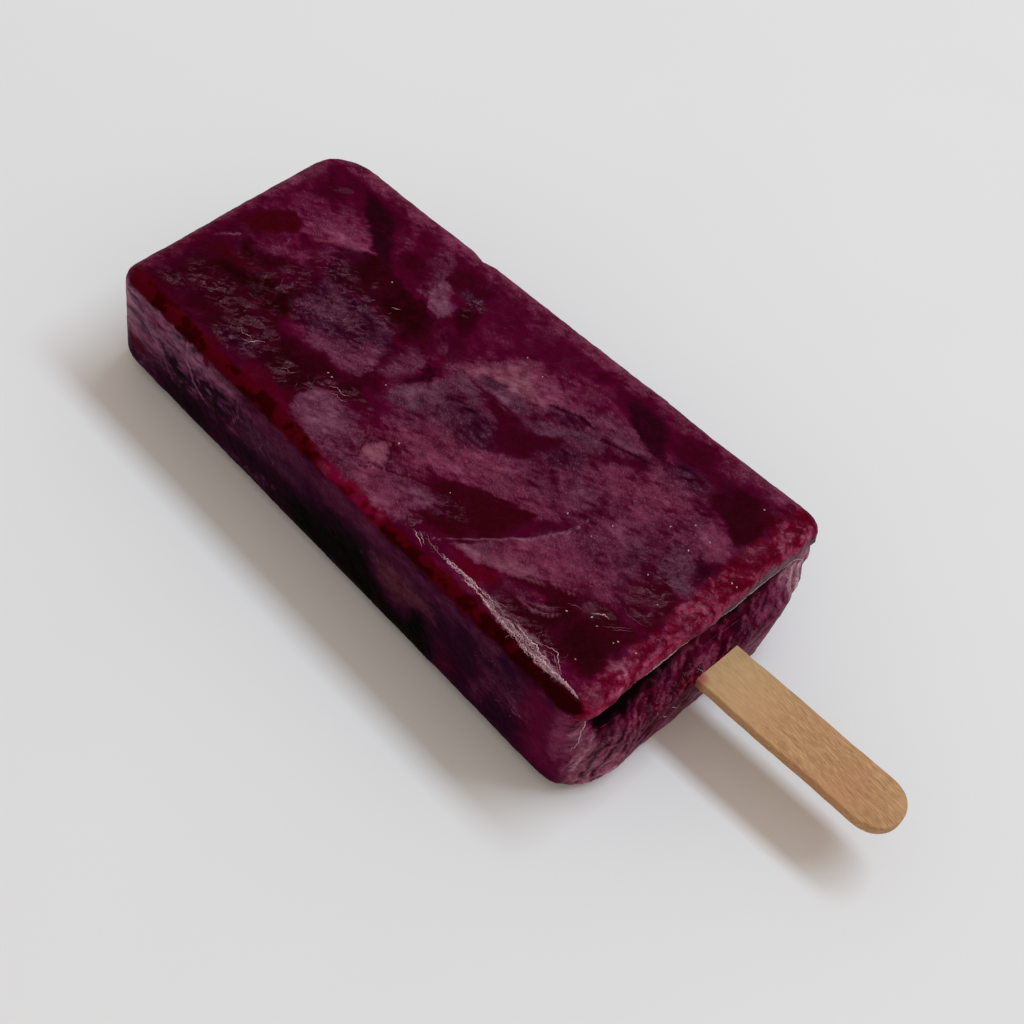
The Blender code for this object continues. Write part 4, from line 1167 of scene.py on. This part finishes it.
def crinkled(route, amount, dice):
    """Even steps along a route, shaken sideways in short waves."""
    points = [np.array(point, float) for point in route]
    steps = []
    for start, end in zip(points, points[1:]):
        count = max(int(np.linalg.norm(end - start) / THREAD_STEP), 1)
        aside = np.array((start[1] - end[1], end[0] - start[0])) / np.linalg.norm(end - start)
        for i in range(count):
            shake = amount * (2.0 * dice.random() - 1.0)
            steps.append(start + (end - start) * i / count + aside * shake)
    steps.append(points[-1])
    return steps


def squiggle(start, heading, length, dice):
    """A short curly route from a start; its bend wanders."""
    place = np.array(start, float)
    bend = 0.5 * (2.0 * dice.random() - 1.0)
    steps = [place]
    for i in range(max(int(length / THREAD_STEP), 3)):
        bend = 0.7 * bend + 0.75 * (2.0 * dice.random() - 1.0)
        heading += 0.9 * bend
        place = place + THREAD_STEP * np.array((math.cos(heading), math.sin(heading)))
        steps.append(place)
    return steps


def ridge_routes(dice):
    """Routes that run beside one another between the two lines of the ridge."""
    low = RIDGE_OUTER[0][0]
    length = RIDGE_OUTER[-1][0] - low
    routes = []
    for i in range(RIDGE_COUNT):
        reach = length * (0.05 + 0.24 * dice.random() ** 1.5)
        first = low + (length - reach) * dice.random() ** 0.6
        x = np.linspace(first, first + reach, max(int(reach / 1.2), 3))
        outer = np.interp(x, *np.transpose(RIDGE_OUTER))
        inner = np.interp(x, *np.transpose(RIDGE_INNER))
        share = dice.random() ** 1.4
        wander = [0.16 * (2.0 * dice.random() - 1.0) for step in x]
        share = np.clip(share + np.cumsum(wander), 0.0, 1.0)
        routes.append(list(zip(x, outer + (inner - outer) * share)))
    return routes


class Threads:
    """Collects threads laid on a surface, each a closed strip with a raised middle."""

    def __init__(self, surface):
        self.surface = surface
        self.verts = []
        self.faces = []
        self.shades = []

    def landing(self, view, step):
        direction, outside = view
        start = Vector(outside(*step)) * MM
        return self.surface.ray_cast(start, direction)[:2]

    def lay(self, view, steps, half_width, height, shade):
        landings = [self.landing(view, step) for step in steps]
        landings = [landing for landing in landings if landing[0] is not None]
        if len(landings) < 3:
            return
        first = len(self.verts)
        last = len(landings) - 1
        for i, (place, normal) in enumerate(landings):
            forward = landings[min(i + 1, last)][0] - landings[max(i - 1, 0)][0]
            aside = normal.cross(forward).normalized()
            taper = 0.25 + 0.75 * math.sin(math.pi * i / last)
            reach = half_width * taper * MM
            foot = place - normal * THREAD_SINK * MM
            crest = place + normal * height * taper * MM
            self.verts += [foot - aside * reach, crest, foot + aside * reach]
            self.shades += [shade] * 3
        for i in range(last):
            here = first + 3 * i
            for side in range(3):
                other = (side + 1) % 3
                self.faces.append((here + side, here + other, here + 3 + other, here + 3 + side))
        self.faces.append((first + 2, first + 1, first))
        self.faces.append((first + 3 * last, first + 3 * last + 1, first + 3 * last + 2))

    def piece(self, name, material):
        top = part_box("ice_bar")[1].z
        for vert in self.verts:
            vert.z = min(vert.z, top)
        mesh = bpy.data.meshes.new(name)
        mesh.from_pydata(self.verts, [], self.faces)
        mesh.update()
        store_number(mesh, "shade", np.array(self.shades))
        made = mesh_object(name, mesh)
        mesh.materials.append(material)
        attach(made, "root")
        return made


def scatter_squiggles(threads, view, table, area, count, spread, shade, dice):
    """Squiggles where a table's spots are strong; spread 1 lets them head any way."""
    low, high = area
    reach = np.array(high, float) - low
    places = [low + reach * (dice.random(), dice.random()) for i in range(count)]
    amounts = spot_cover(np.array(places), table)
    for place, amount in zip(places, amounts):
        heading = math.pi * spread * (2.0 * dice.random() - 1.0)
        length = 0.5 + 1.7 * dice.random() ** 2
        keep = dice.random()
        width = 0.045 + 0.075 * dice.random() ** 2
        tone = shade * (0.1 + 0.9 * dice.random() ** 2)
        if keep < amount:
            steps = squiggle(place, heading, length, dice)
            threads.lay(view, steps, width, 0.8 * width, tone * (0.5 + 0.5 * amount))


def build_threads(skin):
    graph = bpy.context.evaluated_depsgraph_get()
    surface = BVHTree.FromObject(skin, graph)
    dice = random.Random(SQUIGGLE_SEED)
    threads = Threads(surface)
    for route in ridge_routes(dice):
        half_width = 0.07 + 0.16 * dice.random() ** 2
        shade = 0.6 + 0.4 * dice.random()
        threads.lay(TOP_VIEW, crinkled(route, 0.20, dice), half_width, half_width, shade)
    for half_width, height, shade, route in TOP_STRANDS:
        threads.lay(TOP_VIEW, crinkled(route, 0.10, dice), half_width, height, shade)
    for half_width, height, route in END_STRANDS:
        threads.lay(END_VIEW, crinkled(route, 0.12, dice), half_width, height, 0.75)
    for view, table, area, count, spread, shade in SQUIGGLES:
        scatter_squiggles(threads, view, table, area, count, spread, shade, dice)
    threads.piece("frost_threads", frost_material())


def build_glints(skin):
    """Small glossy chips, each a low faceted dome with a sunken base; their pale colour is a painted
    glint.
    """
    graph = bpy.context.evaluated_depsgraph_get()
    surface = BVHTree.FromObject(skin, graph)
    dice = random.Random(SQUIGGLE_SEED + 1)
    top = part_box("ice_bar")[1].z
    shell = bmesh.new()
    for x, y, reach in GLINTS:
        place, normal = surface.ray_cast(Vector((x, y, 40.0)) * MM, TOP_VIEW[0])[:2]
        turn = normal.to_track_quat("Z", "Y").to_matrix().to_4x4()
        spin = Matrix.Rotation(math.pi * dice.random(), 4, "Z")
        size = Matrix.Diagonal((1.3 * reach * MM, 0.8 * reach * MM, 0.7 * reach * MM, 1.0))
        made = bmesh.ops.create_icosphere(
            shell, subdivisions=2, radius=1.0, matrix=Matrix.Translation(place) @ turn @ spin @ size
        )
        for vert in made["verts"]:
            vert.co += (vert.co - place) * (0.5 * dice.random() - 0.2)
            vert.co.z = min(vert.co.z, top)
    mesh = bpy.data.meshes.new("ice_glints")
    shell.to_mesh(mesh)
    shell.free()
    made = mesh_object("ice_glints", mesh)
    mesh.materials.append(glint_material())
    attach(made, "root")


# Materials.


class Nodes:
    """Short ways to add and join shader nodes."""

    def __init__(self, name):
        self.material = bpy.data.materials.new(name)
        self.material.use_nodes = True
        self.tree = self.material.node_tree
        self.shader = self.tree.nodes["Principled BSDF"]
        self.places = self.add("ShaderNodeTexCoord").outputs["Object"]

    def add(self, kind):
        return self.tree.nodes.new(kind)

    def join(self, value, socket):
        if isinstance(value, bpy.types.NodeSocket):
            self.tree.links.new(value, socket)
        else:
            socket.default_value = value

    def attribute(self, name, output="Fac"):
        node = self.add("ShaderNodeAttribute")
        node.attribute_name = name
        return node.outputs[output]

    def stretched(self, lengths, turn=0.0):
        """Places for a pattern this much longer along directions turned about Z, in degrees."""
        node = self.add("ShaderNodeMapping")
        node.vector_type = "TEXTURE"
        self.join(self.places, node.inputs["Vector"])
        node.inputs["Scale"].default_value = lengths
        node.inputs["Rotation"].default_value = (0.0, 0.0, math.radians(turn))
        return node.outputs["Vector"]

    def noise(self, size, detail=3.0, places=None, distortion=0.0):
        """Noise whose lumps are about this many metres across."""
        node = self.add("ShaderNodeTexNoise")
        self.join(self.places if places is None else places, node.inputs["Vector"])
        node.inputs["Scale"].default_value = 1.0 / size
        node.inputs["Detail"].default_value = detail
        node.inputs["Distortion"].default_value = distortion
        return node.outputs["Fac"]

    def math(self, kind, first, second=0.0):
        node = self.add("ShaderNodeMath")
        node.operation = kind
        self.join(first, node.inputs[0])
        self.join(second, node.inputs[1])
        return node.outputs[0]

    def rise(self, value, low, high, start=0.0, finish=1.0):
        """Maps low to high onto start to finish, smoothly, and stays there past either end."""
        node = self.add("ShaderNodeMapRange")
        node.interpolation_type = "SMOOTHSTEP"
        self.join(value, node.inputs["Value"])
        self.join(low, node.inputs["From Min"])
        self.join(high, node.inputs["From Max"])
        self.join(start, node.inputs["To Min"])
        self.join(finish, node.inputs["To Max"])
        return node.outputs["Result"]

    def mix(self, share, first, second, kind="MIX"):
        node = self.add("ShaderNodeMix")
        node.data_type = "RGBA"
        node.blend_type = kind
        self.join(share, node.inputs[0])
        self.join(first, node.inputs[6])
        self.join(second, node.inputs[7])
        return node.outputs[2]

    def bump(self, height, strength, distance, normal=None):
        node = self.add("ShaderNodeBump")
        node.inputs["Strength"].default_value = strength
        node.inputs["Distance"].default_value = distance
        self.join(height, node.inputs["Height"])
        if normal is not None:
            self.join(normal, node.inputs["Normal"])
        return node.outputs["Normal"]

    def green(self, color):
        node = self.add("ShaderNodeSeparateColor")
        self.join(color, node.inputs["Color"])
        return node.outputs["Green"]

    def lines(self, value, middle, width):
        """1 where a value crosses the middle, 0 once it is past the width either way."""
        away = self.math("ABSOLUTE", self.math("SUBTRACT", value, middle))
        return self.rise(away, width, 0.0)


def juice_material():
    nodes = Nodes("frozen_juice")
    tint = nodes.attribute("tint", "Color")
    lace = nodes.attribute("lace")
    frost = nodes.attribute("frost")
    wet = nodes.attribute("wet")
    grain = nodes.attribute("grain")
    milky = nodes.rise(nodes.green(tint), 0.0, 0.009, 0.04, 1.0)
    scratched = nodes.stretched((2.4, 1.0, 1.4), 38.0)
    fine = nodes.noise(0.00026, 3.0, scratched, 0.6)
    color = nodes.mix(grain, tint, nodes.rise(fine, 0.28, 0.72, 0.55, 1.35), "MULTIPLY")
    drawn = nodes.stretched((1.9, 1.0, 1.3), 38.0)
    marble = nodes.noise(0.0012, 7.0, drawn, 1.0)
    veil = nodes.math("MULTIPLY", nodes.rise(lace, 0.0, 1.0, 0.09, 0.42), nodes.rise(marble, 0.48, 0.62))
    veil = nodes.math("MULTIPLY", veil, nodes.rise(lace, 0.0, 0.7, milky, 0.9))
    color = nodes.mix(veil, color, tone_color("lilac"))
    curls = nodes.lines(nodes.noise(0.0012, 2.0, distortion=1.2), 0.5, 0.030)
    curls = nodes.math("MULTIPLY", curls, nodes.rise(marble, 0.46, 0.58))
    curls = nodes.math("MULTIPLY", curls, nodes.rise(lace, 0.1, 1.0, 0.0, 0.45))
    crossed = nodes.stretched((1.8, 1.0, 1.0), -32.0)
    flecks = nodes.rise(nodes.noise(0.00024, 2.0, crossed, 0.8), 0.52, 0.68)
    flecks = nodes.math("MULTIPLY", flecks, nodes.math("MULTIPLY", grain, 0.52))
    flecks = nodes.math("MULTIPLY", flecks, milky)
    crumbs = nodes.rise(nodes.noise(0.00075, 5.0, distortion=0.8), 0.54, 0.64)
    crumbs = nodes.math("MULTIPLY", crumbs, nodes.rise(grain, 0.55, 0.85, 0.0, 0.35))
    flecks = nodes.math("MAXIMUM", flecks, nodes.math("MULTIPLY", crumbs, milky))
    pattern = nodes.math("MAXIMUM", curls, flecks)
    color = nodes.mix(pattern, color, tone_color("frost"))
    along = nodes.stretched((2.8, 1.0, 1.0))
    strands = nodes.lines(nodes.noise(0.0011, 4.0, along, 1.0), 0.5, 0.075)
    crust = nodes.math("MULTIPLY", nodes.rise(frost, 0.1, 0.9), nodes.rise(strands, 0.0, 0.8, 0.05, 0.7))
    color = nodes.mix(crust, color, tone_color("frost"))
    nodes.join(color, nodes.shader.inputs["Base Color"])
    nodes.join(nodes.rise(wet, 0.2, 1.0, 0.55, 0.25), nodes.shader.inputs["Roughness"])
    normal = nodes.bump(marble, 0.30, 0.00030)
    normal = nodes.bump(fine, 0.25, 0.00010, normal)
    normal = nodes.bump(nodes.math("MAXIMUM", pattern, crust), 0.4, 0.00010, normal)
    nodes.join(normal, nodes.shader.inputs["Normal"])
    nodes.shader.inputs["Specular IOR Level"].default_value = 0.02
    nodes.shader.inputs["IOR"].default_value = 1.31
    nodes.shader.inputs["Subsurface Weight"].default_value = 0.12
    nodes.shader.inputs["Subsurface Radius"].default_value = (1.0, 0.30, 0.45)
    nodes.shader.inputs["Subsurface Scale"].default_value = 0.0005
    return nodes.material


def frost_material():
    nodes = Nodes("white_frost")
    shade = nodes.attribute("shade")
    color = nodes.mix(nodes.rise(shade, 0.0, 0.5), tone_color("pink"), tone_color("frost", 1.1))
    color = nodes.mix(nodes.rise(shade, 0.5, 1.0), color, tone_color("white", 2.1))
    grains = nodes.noise(0.00030, 3.0)
    color = nodes.mix(nodes.rise(grains, 0.60, 0.35, 0.0, 0.5), color, tone_color("berry"))
    nodes.join(color, nodes.shader.inputs["Base Color"])
    nodes.shader.inputs["Roughness"].default_value = 0.35
    nodes.shader.inputs["Specular IOR Level"].default_value = 0.25
    nodes.shader.inputs["IOR"].default_value = 1.31
    nodes.join(nodes.bump(grains, 0.5, 0.00006), nodes.shader.inputs["Normal"])
    return nodes.material


def glint_material():
    nodes = Nodes("painted_glint_chips")
    cloud = nodes.noise(0.00025, 2.0)
    # The pale colour is a painted glint.
    color = nodes.mix(nodes.rise(cloud, 0.35, 0.65), tone_color("white"), (0.52, 0.42, 0.46, 1.0))
    nodes.join(color, nodes.shader.inputs["Base Color"])
    nodes.shader.inputs["Roughness"].default_value = 0.12
    nodes.shader.inputs["Specular IOR Level"].default_value = 0.6
    nodes.shader.inputs["IOR"].default_value = 1.31
    nodes.join(nodes.bump(cloud, 0.3, 0.00005), nodes.shader.inputs["Normal"])
    return nodes.material


WOOD_LIGHT = (0.490, 0.283, 0.125, 1.0)
WOOD_DARK = (0.345, 0.170, 0.068, 1.0)
WOOD_PALE = (0.640, 0.390, 0.200, 1.0)
WOOD_PINK = (0.500, 0.228, 0.118, 1.0)
WOOD_PORE = (0.200, 0.094, 0.042, 1.0)
WOOD_EXIT = (0.600, 0.405, 0.200, 1.0)
WOOD_STAIN = (0.300, 0.035, 0.050, 1.0)
GRAIN_TURN = -6.0  # degrees between the grain and the stick


def wood_material():
    nodes = Nodes("stick_wood")
    along = nodes.stretched((20.0, 1.0, 1.0), GRAIN_TURN)
    short = nodes.stretched((8.0, 1.0, 1.0), GRAIN_TURN)
    bands = nodes.noise(0.0013, 4.0, along, 0.3)
    fibres = nodes.noise(0.00019, 3.0, short)
    broad = nodes.noise(0.010, 2.0)
    pores = nodes.rise(nodes.noise(0.00026, 2.0, short), 0.62, 0.72)
    color = nodes.mix(nodes.rise(bands, 0.25, 0.80), WOOD_LIGHT, WOOD_DARK)
    color = nodes.mix(nodes.rise(fibres, 0.45, 0.72, 0.0, 0.8), color, WOOD_PALE)
    color = nodes.mix(nodes.rise(fibres, 0.50, 0.28, 0.0, 0.8), color, WOOD_DARK)
    color = nodes.mix(nodes.rise(broad, 0.35, 0.70, 0.0, 0.5), color, WOOD_PINK)
    color = nodes.mix(nodes.math("MULTIPLY", pores, 0.55), color, WOOD_PORE)
    color = nodes.mix(nodes.attribute("pale"), color, WOOD_EXIT)
    color = nodes.mix(nodes.attribute("stain"), color, WOOD_STAIN)
    nodes.join(color, nodes.shader.inputs["Base Color"])
    nodes.shader.inputs["Roughness"].default_value = 0.62
    nodes.shader.inputs["Specular IOR Level"].default_value = 0.20
    normal = nodes.bump(bands, 0.5, 0.00014)
    normal = nodes.bump(fibres, 0.45, 0.00008, normal)
    nodes.join(normal, nodes.shader.inputs["Normal"])
    return nodes.material


# The stick.

STICK_STEP = 0.7  # millimetres between rings along the stick
STICK_COLUMNS = 44
STICK_END_RINGS = 16
STICK_EDGE = 0.16  # rounding of its long edges, millimetres


class StickShape:
    """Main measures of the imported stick, in millimetres."""

    def __init__(self, corners):
        self.slope, self.offset = np.polyfit(corners[:, 0], corners[:, 1], 1)
        self.low_x = corners[:, 0].min()
        self.high_x = corners[:, 0].max()
        self.low_z = corners[:, 2].min()
        self.high_z = corners[:, 2].max()
        self.half_width = np.abs(corners[:, 1] - self.middle(corners[:, 0])).max()

    def middle(self, x):
        return self.slope * x + self.offset


def stick_stations(shape):
    """Places along the stick, crowded toward its two round ends."""
    turns = np.linspace(0.0, 0.5 * math.pi, STICK_END_RINGS, endpoint=False)[1:]
    bend = shape.half_width * (1.0 - np.cos(turns))
    straight = np.arange(
        shape.low_x + shape.half_width, shape.high_x - shape.half_width, STICK_STEP
    )
    return np.concatenate((shape.low_x + bend, straight, (shape.high_x - bend)[::-1]))


def stick_section(shape, x):
    """A ring round the stick: top left to right, then under right to left."""
    short = min(x - shape.low_x, shape.high_x - x)
    rest = max(shape.half_width - short, 0.0)
    reach = math.sqrt(max(shape.half_width**2 - rest**2, 0.0))
    across = np.linspace(-1.0, 1.0, STICK_COLUMNS)
    across = np.sign(across) * np.abs(across) ** 0.85
    half = 0.5 * (shape.high_z - shape.low_z)
    inset = reach * (1.0 - np.abs(across))
    rest = np.maximum(STICK_EDGE - np.minimum(inset, short), 0.0)
    drop = STICK_EDGE - np.sqrt(np.maximum(STICK_EDGE**2 - rest**2, 0.0))
    level = np.maximum(half - drop, 0.3 * half)
    side = shape.middle(x) + reach * across
    middle = 0.5 * (shape.high_z + shape.low_z)
    top = np.stack((np.full(STICK_COLUMNS, x), side, middle + level), axis=1)
    under = np.stack((np.full(STICK_COLUMNS, x), side, middle - level), axis=1)[::-1]
    return np.concatenate((top, under))


def build_stick(source):
    shape = StickShape(vertex_positions(source.data) / MM)
    rings = np.stack([stick_section(shape, x) for x in stick_stations(shape)])
    count = rings.shape[1]
    points = rings.reshape(-1, 3)
    grain = points * (0.05, 1.0, 1.0)
    height = 0.10 * (clouds(grain, 1.3, 201) - 0.5) + 0.05 * (clouds(grain, 0.45, 202, 2) - 0.5)
    aside = points[:, 1] - shape.middle(points[:, 0])
    edge = smooth(shape.half_width - 1.0, shape.half_width, np.abs(aside))
    wander = 0.22 * (clouds(points * (1.0, 0.02, 0.02), 5.0, 203) - 0.5)
    middle = 0.5 * (shape.high_z + shape.low_z)
    points[:, 2] += np.sign(points[:, 2] - middle) * (height - 0.08)
    points[:, 1] -= np.sign(aside) * edge * (0.12 + wander)
    faces = []
    for ring in range(len(rings) - 1):
        first = ring * count
        second = first + count
        for i in range(count):
            j = (i + 1) % count
            faces.append((first + i, first + j, second + j, second + i))
    faces.append(tuple(range(count)))
    last = (len(rings) - 1) * count
    faces.append(tuple(range(last + count - 1, last - 1, -1)))
    mesh = bpy.data.meshes.new("stick_wood")
    mesh.from_pydata((points * MM).tolist(), [], faces)
    mesh.update()
    face_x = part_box("ice_bar")[1].x / MM
    away = points[:, 0] - face_x
    exit_near = smooth(9.0, 0.0, away)
    blotch = clouds(points, 3.0, 204)
    store_number(mesh, "pale", 0.5 * smooth(16.0, 2.0, away))
    spot = smooth(2.2, 0.4, np.hypot(away + 1.0, points[:, 1] + 2.6))
    store_number(mesh, "stain", 0.8 * spot + 0.10 * exit_near * blotch)
    mesh.polygons.foreach_set("use_smooth", np.ones(len(mesh.polygons), bool))
    stick = mesh_object("wooden_stick", mesh)
    mesh.materials.append(wood_material())
    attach(stick, "root")
    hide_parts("stick")
    return stick


# Camera, floor and light.


def add_camera():
    back = Vector(
        (
            math.sin(VIEW_AZIMUTH) * math.cos(VIEW_ELEVATION),
            -math.cos(VIEW_AZIMUTH) * math.cos(VIEW_ELEVATION),
            math.sin(VIEW_ELEVATION),
        )
    )
    level = Vector((math.cos(VIEW_AZIMUTH), math.sin(VIEW_AZIMUTH), 0.0))
    right = math.cos(VIEW_ROLL) * level + math.sin(VIEW_ROLL) * back.cross(level)
    data = bpy.data.cameras.new("camera")
    data.lens = LENS
    data.sensor_width = SENSOR_WIDTH
    data.clip_start = 0.01
    camera = bpy.data.objects.new("camera", data)
    bpy.context.scene.collection.objects.link(camera)
    turn = Matrix((right, back.cross(right), back)).transposed().to_4x4()
    camera.matrix_world = Matrix.Translation(VIEW_TARGET + back * VIEW_DISTANCE) @ turn
    bpy.context.scene.camera = camera


def floor_material():
    nodes = Nodes("floor")
    tone = nodes.rise(nodes.noise(0.08, 2.0), 0.2, 0.8, FLOOR_TONE - 0.008, FLOOR_TONE + 0.008)
    nodes.join(tone, nodes.shader.inputs["Base Color"])
    nodes.shader.inputs["Roughness"].default_value = 0.8
    nodes.shader.inputs["Specular IOR Level"].default_value = 0.1
    return nodes.material


def add_floor():
    bpy.ops.mesh.primitive_plane_add(size=2.0 * FLOOR_REACH)
    floor = bpy.context.object
    floor.name = "floor"
    floor.data.materials.append(floor_material())


def add_lights():
    world = bpy.data.worlds.new("studio")
    bpy.context.scene.world = world
    world.use_nodes = True
    backdrop = world.node_tree.nodes["Background"]
    backdrop.inputs["Color"].default_value = (*SKY_COLOR, 1.0)
    data = bpy.data.lights.new("key", "AREA")
    data.shape = "RECTANGLE"
    data.size, data.size_y = KEY_SIZE
    data.energy = KEY_POWER
    data.color = KEY_COLOR
    key = bpy.data.objects.new("key", data)
    bpy.context.scene.collection.objects.link(key)
    toward = (KEY_PLACE - KEY_AIM).normalized()
    long = Vector((1.0, 0.0, 0.0))
    long = (long - toward * long.dot(toward)).normalized()
    turn = Matrix((long, toward.cross(long), toward)).transposed().to_4x4()
    key.matrix_world = Matrix.Translation(KEY_PLACE) @ turn


def set_tones():
    view = bpy.context.scene.view_settings
    view.view_transform = "Standard"
    view.look = "None"


def main():
    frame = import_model()
    set_tones()
    add_camera()
    add_floor()
    add_lights()
    skin = build_bar(frame["nodes"]["ice_bar"])
    build_threads(skin)
    build_glints(skin)
    build_stick(frame["nodes"]["stick"])


main()
